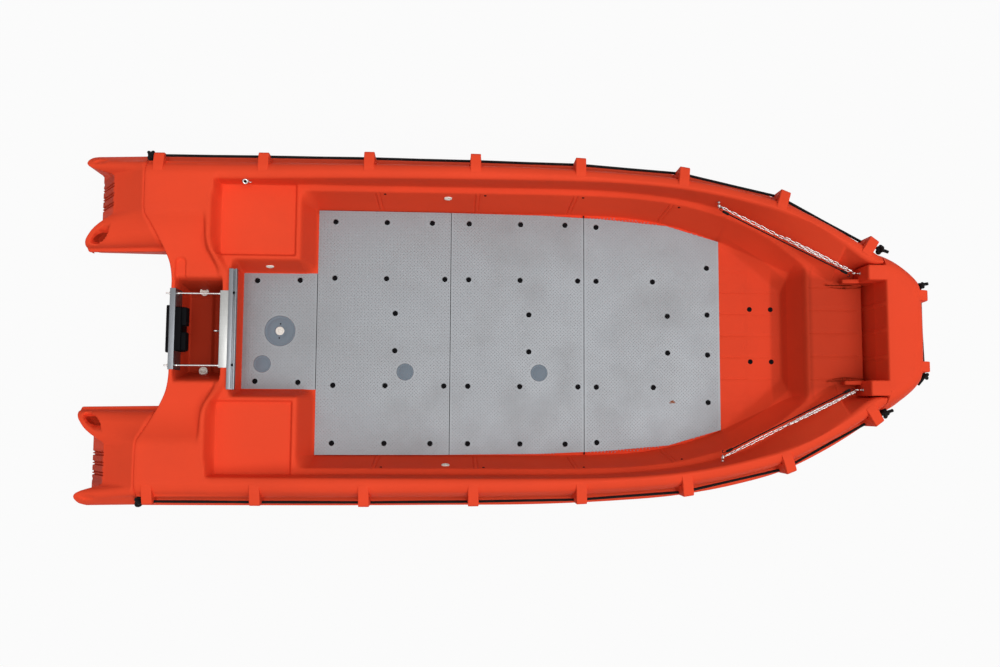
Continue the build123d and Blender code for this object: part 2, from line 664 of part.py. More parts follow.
def tie_rods():
    """Two rods across the motor well with a nut at each end."""
    body = Part()
    x0, x1 = TRANSOM_X - ROD_TAIL, well_forward_x() + 40
    for y in (-ROD_Y, ROD_Y):
        body += Pos((x0 + x1) / 2, y, ROD_Z) * Rot(0, 90, 0) * Cylinder(ROD_R, x1 - x0)
        for x in (TRANSOM_X - CAP_T - 4, well_forward_x() - CAP_T - 4):
            body += Pos(x, y, ROD_Z) * Rot(0, 90, 0) * extrude(RegularPolygon(9, 6), 4, both=True)
    return body


def motor_pad_outer():
    return over_wall(-135, 135, TRANSOM_X - CAP_T - 16, TRANSOM_X - CAP_T, DECK_Z - 145, DECK_Z + 2)


def motor_pad_inner():
    x = WELL_AFT_X + CAP_T
    body = over_wall(-118, 125, x, x + 12, DECK_Z - 140, DECK_Z + 2)
    for y in (-70, 75):
        body += over_wall(y - 48, y + 48, x, x + 48, DECK_Z - 60, DECK_Z - 10)
    return body


def aft_rail():
    """An extruded rail along the after edge of the cockpit, slotted along its forward side."""
    x = COCKPIT_AFT_X + 15 - RAIL_WIDTH
    body = over_wall(-RAIL_HALF, RAIL_HALF, x, x + RAIL_WIDTH, DECK_Z, DECK_Z + RAIL_HEIGHT)
    slot = over_wall(-RAIL_HALF - 1, RAIL_HALF + 1, x + 26, x + 36, DECK_Z + 12, DECK_Z + RAIL_HEIGHT + 1)
    return body - slot


def rail_plugs():
    """Two plugs in the slot of the rail."""
    x = COCKPIT_AFT_X + 15 - RAIL_WIDTH + 31
    return Compound([disc(x, y, 5, DECK_Z + 12, DECK_Z + RAIL_HEIGHT + 3) for y in (-ROD_Y, ROD_Y)])


def wall_cap(x, foot, top, share):
    """A round cap seated on a leaning wall, given the wall's foot and top (half-breadth, height)."""
    place = Vector(x, foot[0] + (top[0] - foot[0]) * share, foot[1] + (top[1] - foot[1]) * share)
    lean = Vector(0, foot[1] - top[1], top[0] - foot[0])
    return Plane(place, z_dir=lean.normalized() * math.copysign(1, lean.Z)) * Pos(0, 0, 3 + SEAT) * Cylinder(CAP_R, 6)


def well_drain_plugs():
    """A plug on each leaning side wall of the motor well."""
    foot, top = (WELL_FLOOR_HALF, WELL_FLOOR_Z), (WELL_HALF, DECK_Z)
    port = wall_cap(WELL_AFT_X + 126, foot, top, 0.12)
    return Compound([port, mirror(port, Plane.XZ)])


def wall_drain_caps():
    """A cap on each cockpit wall amidships and one on the port wall of the aisle."""
    foot = (floor_half(WALL_CAP_X), FLOOR_Z)
    top = (inboard(WALL_CAP_X, LEDGE_IN_IN), LEDGE_Z + 1)
    port = wall_cap(WALL_CAP_X, foot, top, 0.36)
    aisle = wall_cap(AISLE_CAP_X, (AISLE_HALF, FLOOR_Z), (AISLE_TOP_HALF, DECK_Z), 0.5)
    return Compound([port, mirror(port, Plane.XZ), aisle])


def well_eye_bolt():
    """An eye on the leg of the inner cap, over the motor well."""
    return eye(Vector(well_forward_x() - CAP_T - 32, -18, DECK_Z - 60), (1, 0, 0), 32 - EYE_R)


def hinge_fixed():
    plate = over_wall(-240, 240, DOOR_SEAM_X, DOOR_SEAM_X + 3, SILL_Z - 70, SILL_Z - 2)
    for y in (-210, -70, 70, 210):
        plate += Pos(HINGE_X, y, HINGE_Z) * Rot(90, 0, 0) * Cylinder(HINGE_R, 50)
        plate += over_wall(y - 25, y + 25, DOOR_SEAM_X, HINGE_X, HINGE_Z - HINGE_R, HINGE_Z - 4)
    return plate - Pos(HINGE_X, 0, HINGE_Z) * Rot(90, 0, 0) * Cylinder(5, 600)


def hinge_moving():
    plate = over_wall(-230, 230, HINGE_X + 12, HINGE_X + 60, 402, 405)
    for y in (-140, 0, 140):
        knuckle = Pos(HINGE_X, y, HINGE_Z) * Rot(90, 0, 0) * Cylinder(HINGE_R, 80)
        tab = over_wall(y - 40, y + 40, HINGE_X + 4, HINGE_X + 16, HINGE_Z + 2, 405)
        plate += knuckle + tab
    return plate - Pos(HINGE_X, 0, HINGE_Z) * Rot(90, 0, 0) * Cylinder(5.1, 600)


def hinge_pin():
    return Pos(HINGE_X, 0, HINGE_Z) * Rot(90, 0, 0) * Cylinder(5, 490)


def write(name, shape):
    export_step(shape, f"parts/{name}.step")
    print(name, len(shape.solids()), round(shape.volume / 1e6, 3))


if __name__ == "__main__":
    os.makedirs("parts", exist_ok=True)
    write("hull", hull() - rod_holes())
    write("port_stern_float", stern_float(1))
    write("starboard_stern_float", stern_float(-1))
    write("bow_door", bow_door())
    for name, plate in zip(("aft", "after_middle", "forward_middle", "forward"), floor_plates()):
        write(f"{name}_floor_plate", plate)
    write("inspection_hatch", disc(HATCH_X, 0, HATCH_R - 1, FLOOR_Z, FLOOR_Z + PLATE))
    write("flush_covers", Compound([disc(x, y, COVER_R - 1, FLOOR_Z, FLOOR_Z + PLATE) for x, y in COVERS]))
    write("transom_outer_cap", transom_outer_cap())
    write("transom_inner_cap", transom_inner_cap())
    write("transom_tie_rods", tie_rods())
    write("motor_pad_outer", motor_pad_outer())
    write("motor_pad_inner", motor_pad_inner())
    write("aft_rail", aft_rail())
    write("well_drain_plugs", well_drain_plugs())
    write("door_hinge_fixed", hinge_fixed())
    write("door_hinge_moving", hinge_moving())
    write("door_hinge_pin", hinge_pin())
    write("bow_line", bow_line())
    write("rail_plugs", rail_plugs())
    write("wall_drain_caps", wall_drain_caps())
    write("well_eye_bolt", well_eye_bolt())
    write("deck_hook", deck_hook())
    for side, sign in (("port", 1), ("starboard", -1)):
        write(f"{side}_grab_line", grab_line(sign))
        hull_eye, door_eye = hull_eye_place(sign), door_eye_place(sign)
        write(f"{side}_hull_eye", eye(hull_eye, (0, sign, 0), EYE_REACH))
        write(f"{side}_door_eye", eye(door_eye, (1, 0, 0), CHEEK_X - DOOR_EYE.X - EYE_R))
        way = (door_eye - hull_eye).normalized()
        write(f"{side}_chain", chain(hull_eye + way * 24, door_eye - way * 30, 27))
        slack = door_eye + Vector(0, 0, SLACK_RISE) - way * 20
        write(f"{side}_slack_chain", chain(slack, slack - way * SLACK_LINKS * 31.5, SLACK_LINKS))
        write(f"{side}_shock_cord", shock_cord(sign))
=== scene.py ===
# %% [markdown]
# # An open plastic workboat with a fold-down bow door
# The boat is one big rotationally moulded shell, two bolt-on stern floats, a moulded bow door, four
# tread plates and a handful of metal and rope fittings. Everything is in metres, with +X to the bow,
# +Y to port and +Z up, and sits in the same frame as the engineering model that is loaded first.

# %% Load the engineering model
import math

import bmesh
import bpy
import numpy as np
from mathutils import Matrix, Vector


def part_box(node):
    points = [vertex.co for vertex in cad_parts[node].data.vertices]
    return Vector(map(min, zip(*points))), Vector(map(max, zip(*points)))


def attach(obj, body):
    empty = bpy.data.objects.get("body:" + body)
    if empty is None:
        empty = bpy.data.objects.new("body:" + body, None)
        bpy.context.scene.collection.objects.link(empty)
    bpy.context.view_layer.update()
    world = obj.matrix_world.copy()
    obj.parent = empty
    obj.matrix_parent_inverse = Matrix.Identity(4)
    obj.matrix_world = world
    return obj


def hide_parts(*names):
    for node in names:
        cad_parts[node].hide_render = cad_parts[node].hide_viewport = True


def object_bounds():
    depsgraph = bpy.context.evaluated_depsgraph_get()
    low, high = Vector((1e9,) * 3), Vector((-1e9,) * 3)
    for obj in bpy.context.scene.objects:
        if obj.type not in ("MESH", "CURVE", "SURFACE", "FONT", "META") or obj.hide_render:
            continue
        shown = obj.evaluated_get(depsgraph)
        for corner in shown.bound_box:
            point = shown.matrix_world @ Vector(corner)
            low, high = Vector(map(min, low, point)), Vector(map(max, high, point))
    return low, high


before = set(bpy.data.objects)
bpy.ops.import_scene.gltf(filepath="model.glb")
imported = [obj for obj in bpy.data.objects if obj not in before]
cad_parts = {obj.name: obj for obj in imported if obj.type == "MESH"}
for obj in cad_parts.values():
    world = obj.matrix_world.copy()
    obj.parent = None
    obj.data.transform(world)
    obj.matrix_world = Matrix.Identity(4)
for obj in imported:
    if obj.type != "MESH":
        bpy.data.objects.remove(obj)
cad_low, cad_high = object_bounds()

scene = bpy.context.scene
print("boat", [round(b - a, 3) for a, b in zip(cad_low, cad_high)], "m")

# %% [markdown]
# ## Helpers for computed surfaces
# A moulding is easiest to describe as a rectangular grid of points: rows run along the boat and
# columns run across it. Once the grid exists as one array, turning it into a mesh is always the same
# step, so it gets one function. `np.arange` builds every quad at once.

# %% Grid to mesh
def added(name, data):
    """A new object in the scene."""
    made = bpy.data.objects.new(name, data)
    scene.collection.objects.link(made)
    return made


def link(name, mesh, body, material, smooth=True):
    """Adds a finished mesh to the scene as a piece that rides on a body, in its material's slot."""
    piece = added(name, mesh)
    mesh.materials.append(material)
    mesh.polygons.foreach_set("use_smooth", [smooth] * len(mesh.polygons))
    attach(piece, body)
    return piece


def quads(rows, columns, wrap_rows=False, wrap_columns=False):
    """Corner numbers of every cell of a grid: (i, j), (i+1, j), (i+1, j+1) and (i, j+1)."""
    i = np.arange(rows if wrap_rows else rows - 1)
    j = np.arange(columns if wrap_columns else columns - 1)
    a, b = np.meshgrid(i, j, indexing="ij")
    c, d = (a + 1) % rows, (b + 1) % columns
    cells = np.stack([a * columns + b, c * columns + b, c * columns + d, a * columns + d], -1)
    return cells.reshape(-1, 4)


def capped(rows, columns):
    """The cells of a row of closed rings, and one flat face over each end."""
    faces = [tuple(cell) for cell in quads(rows, columns, wrap_columns=True)]
    return faces + [tuple(range(columns)), tuple(range((rows - 1) * columns, rows * columns))]


def joined(parts):
    """Several (points, faces) pairs as one pair."""
    points, faces, first = [], [], 0
    for p, f in parts:
        points.append(p.reshape(-1, 3))
        faces += [tuple(np.array(row) + first) for row in f]
        first += len(points[-1])
    return np.concatenate(points), faces


def to_mesh(name, points, faces, merge=1e-5):
    """A mesh from arrays, with doubled points merged and all faces turned outwards."""
    mesh = bpy.data.meshes.new(name)
    mesh.from_pydata(points.reshape(-1, 3).tolist(), [], [tuple(int(v) for v in f) for f in faces])
    work = bmesh.new()
    work.from_mesh(mesh)
    bmesh.ops.remove_doubles(work, verts=work.verts, dist=merge)
    bmesh.ops.dissolve_degenerate(work, dist=merge, edges=work.edges)
    bmesh.ops.recalc_face_normals(work, faces=work.faces)
    work.to_mesh(mesh)
    work.free()
    return mesh


# %% Smooth steps and curves
def hinge(t, at, r):
    """0 before `at`, t - at after it, and a parabola over at - r to at + r."""
    s = t - at
    return np.where(s <= -r, 0, np.where(s >= r, s, (s + r) ** 2 / (4 * r)))


def ramp(t, a, b, r=0.006):
    """A rise from 0 at a to 1 at b, straight between, with both corners rounded over r."""
    r = min(r, (b - a) / 2)
    return (hinge(t, a, r) - hinge(t, b, r)) / (b - a)


def soft_max(a, b, k=0.12):
    """The larger of two heights, with the crossing rounded over k."""
    return np.maximum(a, b) + np.maximum(k - np.abs(a - b), 0) ** 2 / (4 * k)


def curve_through(rows):
    """A function through rows of (position, value): cubic pieces with slopes from the neighbours."""
    xs, ys = np.array(rows, float).T
    slopes = np.gradient(ys, xs)

    def at(x):
        x = np.clip(x, xs[0], xs[-1])
        k = np.clip(np.searchsorted(xs, x, side="right") - 1, 0, len(xs) - 2)
        h = xs[k + 1] - xs[k]
        t = (x - xs[k]) / h
        rise = (1 + 2 * t) * (1 - t) ** 2 * ys[k] + t * t * (3 - 2 * t) * ys[k + 1]
        return rise + t * (1 - t) * h * ((1 - t) * slopes[k] - t * slopes[k + 1])

    return at


def rounded(points, radii, samples=5, between=None):
    """Rounds the corners of polylines.

    points is an array (corner, row, axis). Each inner corner P with neighbours A and B is replaced by
    the parabola from P + r (A - P)/|A - P| to P + r (B - P)/|B - P| with control point P, where r is
    held under 0.48 of each side. between gives how many points to add on each straight run.
    """
    t = np.linspace(0, 1, samples)[:, None, None]
    out = [points[:1]]
    between = between or [0] * (len(points) - 1)
    last = points[0]
    for k in range(1, len(points)):
        here = points[k]
        if k < len(points) - 1:
            back, ahead = points[k - 1] - here, points[k + 1] - here
            back_length = np.linalg.norm(back, axis=-1, keepdims=True) + 1e-9
            ahead_length = np.linalg.norm(ahead, axis=-1, keepdims=True) + 1e-9
            r = np.minimum(radii[k], 0.48 * np.minimum(back_length, ahead_length))
            start, stop = here + back / back_length * r, here + ahead / ahead_length * r
            bend = (1 - t) ** 2 * start + 2 * t * (1 - t) * here + t * t * stop
        else:
            start, bend = here, here[None]
        n = between[k - 1]
        if n:
            s = (np.arange(1, n + 1) / (n + 1))[:, None, None]
            out.append(last + (start - last) * s)
        out.append(bend)
        last = bend[-1]
    return np.concatenate(out)

# %% [markdown]
# ## Slabs with rounded edges
# Pads, plates, nuts, strips and brackets are all an outline pulled through a thickness, with the
# edges of both faces rounded. A Bevel modifier could round them, but insetting the outline along its
# own normals needs fewer faces, and leaves each end as one flat face.

# %% Slabs and tubes
def inset(loop, amount):
    """A closed outline moved inwards by an amount.

    Each point moves along the mean of the normals of its two sides, by amount / cos(half the turn).
    """
    ahead = np.roll(loop, -1, 0) - loop
    behind = loop - np.roll(loop, 1, 0)
    ahead /= np.linalg.norm(ahead, axis=1, keepdims=True) + 1e-12
    behind /= np.linalg.norm(behind, axis=1, keepdims=True) + 1e-12
    way = ahead + behind
    way /= np.linalg.norm(way, axis=1, keepdims=True) + 1e-12
    area = np.sum(loop[:, 0] * np.roll(loop[:, 1], -1) - np.roll(loop[:, 0], -1) * loop[:, 1])
    inward = np.stack([-way[:, 1], way[:, 0]], 1) * math.copysign(1, area)
    half = np.sqrt(np.clip((1 + np.sum(ahead * behind, 1)) / 2, 0.2, 1))
    return loop + inward * (amount / half)[:, None]


def soft_loop(corners, r, samples=4):
    """A closed outline with every corner rounded over r."""
    c = np.array(corners, float)
    around = np.concatenate([c[-1:], c, c[:1]])
    mid = (c[-1] + c[0]) / 2
    points = np.concatenate([[mid], around[1:-1], [mid]])[:, None, :]
    return rounded(points, [r] * len(points), samples)[:-1, 0]


def rectangle(u0, u1, v0, v1):
    """The corners of a rectangle, anticlockwise."""
    return [(u0, v0), (u1, v0), (u1, v1), (u0, v1)]


def circle(r, n=32):
    """A circle round the origin as a closed outline."""
    a = np.linspace(0, 2 * math.pi, n, endpoint=False)
    return np.stack([r * np.cos(a), r * np.sin(a)], 1)


def slab(loop, low, high, edge=0.002):
    """An outline in (u, v) pulled from w = low to w = high, with both rims rounded over `edge`."""
    levels = [(low, edge), (low + 0.3 * edge, 0.3 * edge), (low + edge, 0), (high - edge, 0),
              (high - 0.3 * edge, 0.3 * edge), (high, edge)]
    rings = [np.concatenate([inset(loop, d), np.full((len(loop), 1), w)], 1) for w, d in levels]
    return np.concatenate(rings), capped(len(levels), len(loop))


def placed(part, at=(0, 0, 0), u=(1, 0, 0), v=(0, 1, 0)):
    """A part moved from its own (u, v, w) axes to the boat's, with w = u x v."""
    u, v = np.array(u, float) / np.linalg.norm(u), np.array(v, float)
    v = v - u * np.dot(u, v)
    v /= np.linalg.norm(v)
    points, faces = part
    return points @ np.array([u, v, np.cross(u, v)]) + np.array(at, float), faces


def tube(path, r, n=12, closed=False):
    """A round tube: a circle of radius r carried along a path, kept square to it without twisting."""
    path = np.array(path, float)
    if closed:
        way = np.roll(path, -1, 0) - np.roll(path, 1, 0)
    else:
        way = np.gradient(path, axis=0)
    way /= np.linalg.norm(way, axis=1, keepdims=True)
    side = np.zeros_like(path)
    start = np.eye(3)[np.argmin(np.abs(way[0]))]
    side[0] = np.cross(way[0], start)
    for k in range(1, len(path)):
        side[k] = side[k - 1] - way[k] * np.dot(side[k - 1], way[k])
    side /= np.linalg.norm(side, axis=1, keepdims=True)
    up = np.cross(way, side)
    a = np.linspace(0, 2 * math.pi, n, endpoint=False)[None, :, None]
    r = np.broadcast_to(np.asarray(r, float), (len(path),))[:, None, None]
    rings = path[:, None] + r * (np.cos(a) * side[:, None] + np.sin(a) * up[:, None])
    faces = quads(len(path), n, True, True) if closed else capped(len(path), n)
    return rings.reshape(-1, 3), faces


def piece(name, parts, body, material, replaces=None):
    """Computed parts as one named piece, which may stand for a node of the engineering model."""
    mesh = to_mesh(name, *joined(parts))
    made = link(name, mesh, body, material)
    if replaces:
        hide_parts(replaces)
    print(name, len(mesh.polygons), "faces")


SIDES = (("port", 1), ("starboard", -1))


def sided(part, sign):
    """A port part as it is for sign 1, and on the other side of the boat for sign -1."""
    points, faces = part
    return points * (1, sign, 1), faces

# %% [markdown]
# ## Materials
# A finish is a few small patterns stacked up: a slow change of tint, a grain in the gloss, and relief
# too fine to model. Patterns that several finishes share are node groups, which read Object
# coordinates, so they stay put when the boat moves. The groups put out only colours, masks and
# normals, and each material feeds them to its own Principled shader.

# %% A short way to write node trees
class Net:
    """Adds nodes to one tree. Every method returns the output socket of the node it made."""

    def __init__(self, tree):
        self.tree = tree
        self.place = None

    def node(self, kind, *feeds, **settings):
        made = self.tree.nodes.new(kind)
        for name, value in settings.items():
            setattr(made, name, value)
        for key, value in feeds:
            self.feed(made.inputs[key], value)
        return made

    def feed(self, socket, value):
        if isinstance(value, bpy.types.NodeSocket):
            self.tree.links.new(value, socket)
        else:
            socket.default_value = value

    def at(self):
        """Object coordinates of the point being shaded."""
        if self.place is None:
            self.place = self.node("ShaderNodeTexCoord").outputs["Object"]
        return self.place

    def stretched(self, scale):
        """Object coordinates scaled by three factors, which squeezes a pattern along an axis."""
        return self.node("ShaderNodeMapping", ("Vector", self.at()), ("Scale", scale)).outputs[0]

    def noise(self, scale, detail=3.0, where=None, roughness=0.55):
        feeds = (("Vector", where or self.at()), ("Scale", scale), ("Detail", detail),
                 ("Roughness", roughness))
        return self.node("ShaderNodeTexNoise", *feeds).outputs[0]

    def sum(self, operation, a, b=0.0, c=0.0, clamp=False):
        made = self.node("ShaderNodeMath", operation=operation, use_clamp=clamp)
        for socket, value in zip(made.inputs, (a, b, c)):
            self.feed(socket, value)
        return made.outputs[0]

    def vector(self, operation, a, b=None):
        """The same for vectors: one operation on a, or on a and b."""
        feeds = [(0, a)] if b is None else [(0, a), (1, b)]
        return self.node("ShaderNodeVectorMath", *feeds, operation=operation).outputs[0]

    def span(self, value, low, high, to_low=0.0, to_high=1.0):
        """value scaled so that low..high becomes to_low..to_high, and held there."""
        feeds = (("Value", value), ("From Min", low), ("From Max", high), ("To Min", to_low),
                 ("To Max", to_high))
        return self.node("ShaderNodeMapRange", *feeds).outputs[0]

    def mixed(self, share, a, b):
        """Colour a where share is 0, and b where it is 1."""
        return self.node("ShaderNodeMix", (0, share), (6, a), (7, b), data_type="RGBA").outputs[2]

    def scaled(self, colour, factor):
        """A colour times a number."""
        return self.node("ShaderNodeVectorMath", (0, colour), ("Scale", factor),
                         operation="SCALE").outputs[0]

    def relief(self, height, distance, below=None, strength=1.0):
        feeds = [("Height", height), ("Distance", distance), ("Strength", strength)]
        if below is not None:
            feeds.append(("Normal", below))
        return self.node("ShaderNodeBump", *feeds).outputs[0]


def new_group(name, inputs, outputs):
    """An empty node group with named sockets, and a Net to fill it."""
    kinds = {"colour": "NodeSocketColor", "value": "NodeSocketFloat", "vector": "NodeSocketVector"}
    tree = bpy.data.node_groups.new(name, "ShaderNodeTree")
    for label, kind in inputs:
        tree.interface.new_socket(name=label, in_out="INPUT", socket_type=kinds[kind])
    for label, kind in outputs:
        tree.interface.new_socket(name=label, in_out="OUTPUT", socket_type=kinds[kind])
    net = Net(tree)
    net.given = tree.nodes.new("NodeGroupInput").outputs
    net.out = tree.nodes.new("NodeGroupOutput").inputs
    return net


def new_material(name, **constants):
    """A material with a Principled shader, whose unchanging values are set on its own sockets."""
    made = bpy.data.materials.new(name)
    made.use_nodes = True
    net = Net(made.node_tree)
    net.shader = made.node_tree.nodes["Principled BSDF"].inputs
    for label, value in constants.items():
        net.shader[label.replace("_", " ")].default_value = value
    made.diffuse_color = tuple(constants.get("Base_Color", (0.5, 0.5, 0.5, 1)))
    return made, net


def use_group(net, group_net, **feeds):
    """One copy of a group in a material, with its inputs set by name."""
    made = net.node("ShaderNodeGroup")
    made.node_tree = group_net.tree
    for label, value in feeds.items():
        net.feed(made.inputs[label.replace("_", " ")], value)
    return made.outputs


# %% Groups for moulded plastic, metal, rubbing and grime
def moulded_plastic_group():
    """Slow tint, a satin gloss that varies, the dimpled skin of a moulding and a few fine scratches."""
    net = new_group("moulded_plastic", [("Tint", "colour"), ("Gloss", "value")],
                    [("Colour", "colour"), ("Roughness", "value"), ("Normal", "vector")])
    slow = net.noise(0.9, 3.0)
    cloud = net.noise(7.0, 5.0)
    tint = net.scaled(net.given["Tint"], net.span(slow, 0.3, 0.7, 0.94, 1.05))
    scratch = net.noise(22.0, 4.0, net.stretched((1.0, 9.0, 3.0)), 0.7)
    rubbed = net.span(scratch, 0.66, 0.74)
    feeds = ((0, net.sum("MULTIPLY", rubbed, 0.022)), (6, tint), (7, (1.0, 0.75, 0.7, 1)))
    pale = net.node("ShaderNodeMix", *feeds, data_type="RGBA", blend_type="SCREEN").outputs[2]
    net.feed(net.out["Colour"], pale)
    rough = net.sum("ADD", net.given["Gloss"], net.span(cloud, 0.3, 0.7, -0.05, 0.05))
    net.feed(net.out["Roughness"], net.sum("ADD", rough, net.sum("MULTIPLY", rubbed, 0.12)))
    dimples = net.noise(430.0, 2.0)
    waves = net.noise(9.0, 2.0)
    net.feed(net.out["Normal"], net.relief(dimples, 0.00022, net.relief(waves, 0.0012)))
    return net


def metal_group():
    """Rolled or drawn metal: streaks along the boat in tint and gloss, and dull clouds."""
    net = new_group("worn_metal", [("Tint", "colour"), ("Gloss", "value"), ("Streaks", "value")],
                    [("Colour", "colour"), ("Roughness", "value"), ("Normal", "vector")])
    streak = net.noise(60.0, 3.0, net.stretched((0.35, 9.0, 3.0)))
    cloud = net.noise(5.0, 5.0)
    shade = net.sum("ADD", net.span(streak, 0.3, 0.7, -0.06, 0.06),
                    net.span(cloud, 0.25, 0.75, 0.90, 1.06))
    net.feed(net.out["Colour"], net.scaled(net.given["Tint"], shade))
    rough = net.sum("ADD", net.given["Gloss"], net.span(cloud, 0.3, 0.7, -0.06, 0.07))
    lines = net.sum("MULTIPLY", net.given["Streaks"], net.span(streak, 0.3, 0.7, -0.06, 0.06))
    net.feed(net.out["Roughness"], net.sum("ADD", rough, lines))
    net.feed(net.out["Normal"], net.relief(streak, 0.00012))
    return net


def grime_group():
    """How dirty a point is, 0 to 1: clouds of dust with small specks in them."""
    net = new_group("grime", [("Amount", "value")], [("Mask", "value")])
    cloud = net.span(net.noise(2.3, 6.0, None, 0.65), 0.45, 0.75)
    cell = net.node("ShaderNodeTexVoronoi", ("Vector", net.at()), ("Scale", 46.0)).outputs["Distance"]
    speck = net.span(cell, 0.05, 0.09, 1.0, 0.0)
    dust = net.sum("ADD", net.sum("MULTIPLY", cloud, 0.55), net.sum("MULTIPLY", speck, cloud))
    net.feed(net.out["Mask"], net.sum("MULTIPLY", dust, net.given["Amount"], clamp=True))
    return net


plastic_net, metal_net, grime_net = moulded_plastic_group(), metal_group(), grime_group()


# %% The finishes of the boat
def plastic_finish(name, tint, gloss, dirt_colour, dirt, painted_shade_boxes=()):
    """Moulded plastic in one colour, with grime of another colour on it.

    painted_shade_boxes are boxes of painted shade, where the colour is darkened to stand in for the
    shade that falls there: (centre, half size, share kept).
    """
    made, net = new_material(name, Base_Color=(*tint, 1), Roughness=gloss)
    net.shader["Specular IOR Level"].default_value = 0.02
    skin = use_group(net, plastic_net, Tint=(*tint, 1), Gloss=gloss)
    grime = use_group(net, grime_net, Amount=dirt)
    colour = net.mixed(grime["Mask"], skin["Colour"], (*dirt_colour, 1))
    # Painted shade: each box darkens the colour towards its middle, down to the share kept.
    for centre, half, kept in painted_shade_boxes:
        spot = net.vector("DIVIDE", net.vector("SUBTRACT", net.at(), centre), half)
        parts = net.node("ShaderNodeSeparateXYZ", (0, net.vector("ABSOLUTE", spot))).outputs
        far = net.sum("MAXIMUM", net.sum("MAXIMUM", parts[0], parts[1]), parts[2])
        colour = net.scaled(colour, net.span(far, 0.80, 1.0, kept, 1.0))
    net.feed(net.shader["Base Color"], colour)
    net.feed(net.shader["Roughness"],
             net.sum("ADD", skin["Roughness"], net.sum("MULTIPLY", grime["Mask"], 0.3)))
    net.feed(net.shader["Normal"], skin["Normal"])
    return made


def metal_finish(name, tint, gloss, streaks, dirt, metallic=1.0, rust=None):
    """Bare metal with grime and, where given, one rust mark as (x, y, length, width)."""
    made, net = new_material(name, Base_Color=(*tint, 1), Metallic=metallic, Roughness=gloss)
    skin = use_group(net, metal_net, Tint=(*tint, 1), Gloss=gloss, Streaks=streaks)
    grime = use_group(net, grime_net, Amount=dirt)
    colour = net.mixed(grime["Mask"], skin["Colour"], (0.16, 0.14, 0.12, 1))
    if rust:
        x, y, long, wide = rust
        spot = net.node("ShaderNodeMapping", ("Vector", net.at()),
                        ("Location", (-x / long, -y / wide, -0.34 / long)),
                        ("Scale", (1 / long, 1 / wide, 1 / long))).outputs[0]
        distance = net.node("ShaderNodeVectorMath", (0, spot), operation="LENGTH").outputs["Value"]
        ragged = net.sum("ADD", distance, net.span(net.noise(95.0, 5.0), 0.2, 0.8, -0.9, 0.9))
        colour = net.mixed(net.span(ragged, 0.75, 1.1, 1.0, 0.0), colour, (0.13, 0.035, 0.012, 1))
    net.feed(net.shader["Base Color"], colour)
    net.feed(net.shader["Roughness"],
             net.sum("ADD", skin["Roughness"], net.sum("MULTIPLY", grime["Mask"], 0.25)))
    net.feed(net.shader["Normal"], skin["Normal"])
    return made


def rope_finish():
    """Black polyester: a soft sheen, and a fuzz of fibres in tint and relief."""
    made, net = new_material("black_braided_rope", Base_Color=(0.012, 0.012, 0.013, 1), Roughness=0.8)
    net.shader["Specular IOR Level"].default_value = 0.1
    net.shader["Sheen Weight"].default_value = 0.05
    net.shader["Sheen Roughness"].default_value = 0.5
    fibre = net.noise(900.0, 3.0)
    dusty = net.span(net.noise(18.0, 4.0), 0.5, 0.8, 0.0, 0.5)
    colour = net.mixed(net.span(fibre, 0.35, 0.65), (0.003, 0.003, 0.003, 1), (0.010, 0.010, 0.011, 1))
    net.feed(net.shader["Base Color"], net.mixed(dusty, colour, (0.018, 0.017, 0.016, 1)))
    net.feed(net.shader["Roughness"], net.span(fibre, 0.3, 0.7, 0.7, 0.9))
    net.feed(net.shader["Normal"], net.relief(fibre, 0.0003))
    return made


# Base colours are linear. A painted shade box darkens the colour in a box to stand in for shade: in the
# motor well, on the bow steps and on the float horns.
ORANGE = (0.81, 0.070, 0.027)
PAINTED_SHADE_BOXES = [((-1.81, 0, 0.27), (0.14, 0.31, 0.24), 0.42), ((1.98, 0, 0.56), (0.20, 0.40, 0.10), 0.62),
          ((1.74, 0, 0.45), (0.10, 0.42, 0.14), 0.78), ((1.52, 0, 0.34), (0.24, 0.62, 0.06), 0.86)]
# Painted shade on each float's sloping step and in its finger hold.
for side in (1, -1):
    PAINTED_SHADE_BOXES.append(((-2.410, side * 0.82, 0.37), (0.065, 0.110, 0.105), 0.66))
    PAINTED_SHADE_BOXES.append(((-2.425, side * 0.548, 0.375), (0.060, 0.030, 0.045), 0.45))
orange = plastic_finish("orange_moulded_plastic", ORANGE, 0.50, (0.42, 0.05, 0.03), 0.25, PAINTED_SHADE_BOXES)
black = plastic_finish("black_moulded_plastic", (0.005, 0.005, 0.006), 0.5, (0.03, 0.028, 0.026), 0.3)
grey = plastic_finish("blue_grey_hatch_plastic", (0.175, 0.215, 0.255), 0.5, (0.14, 0.13, 0.12), 0.4)
white = plastic_finish("white_moulded_plastic", (0.78, 0.76, 0.70), 0.38, (0.35, 0.30, 0.25), 0.35)
RUST_MARK = (1.026, -0.415, 0.016, 0.010)
tread = metal_finish("tread_plate_aluminium", (0.245, 0.256, 0.270), 0.52, 0.6, 0.22, 0.70, RUST_MARK)
aluminium = metal_finish("mill_finish_aluminium", (0.40, 0.40, 0.39), 0.38, 1.0, 0.3)
dull_aluminium = metal_finish("weathered_aluminium", (0.20, 0.21, 0.225), 0.42, 1.0, 0.4)
steel = metal_finish("stainless_steel", (0.62, 0.61, 0.60), 0.22, 0.4, 0.12)
rope_black = rope_finish()

# %% [markdown]
# ## The hull moulding
# A rotationally moulded hull has no sharp edge anywhere: every corner has a radius. Its inside is a
# landscape seen from above, so it is a height field: floor, boxes, trays, motor well, riser and bow
# platform are ramps joined with soft minima and maxima. Its sides overhang, so from the cockpit wall
# outwards each station is a section with rounded corners instead. Both share one grid, whose columns
# follow the boat's own lines, so that walls and edges stay clean.

# %% Heights and stations of the moulding
# Heights: cockpit floor, box lids, tray bottoms, ledge, bow platform, door sill and motor well.
FLOOR, DECK, PANEL = 0.335, 0.560, 0.535
LEDGE_IN_Z, LEDGE_OUT_Z, PLATFORM_Z = 0.560, 0.578, 0.562
SILL_Z, WELL_FLOOR = 0.375, 0.250
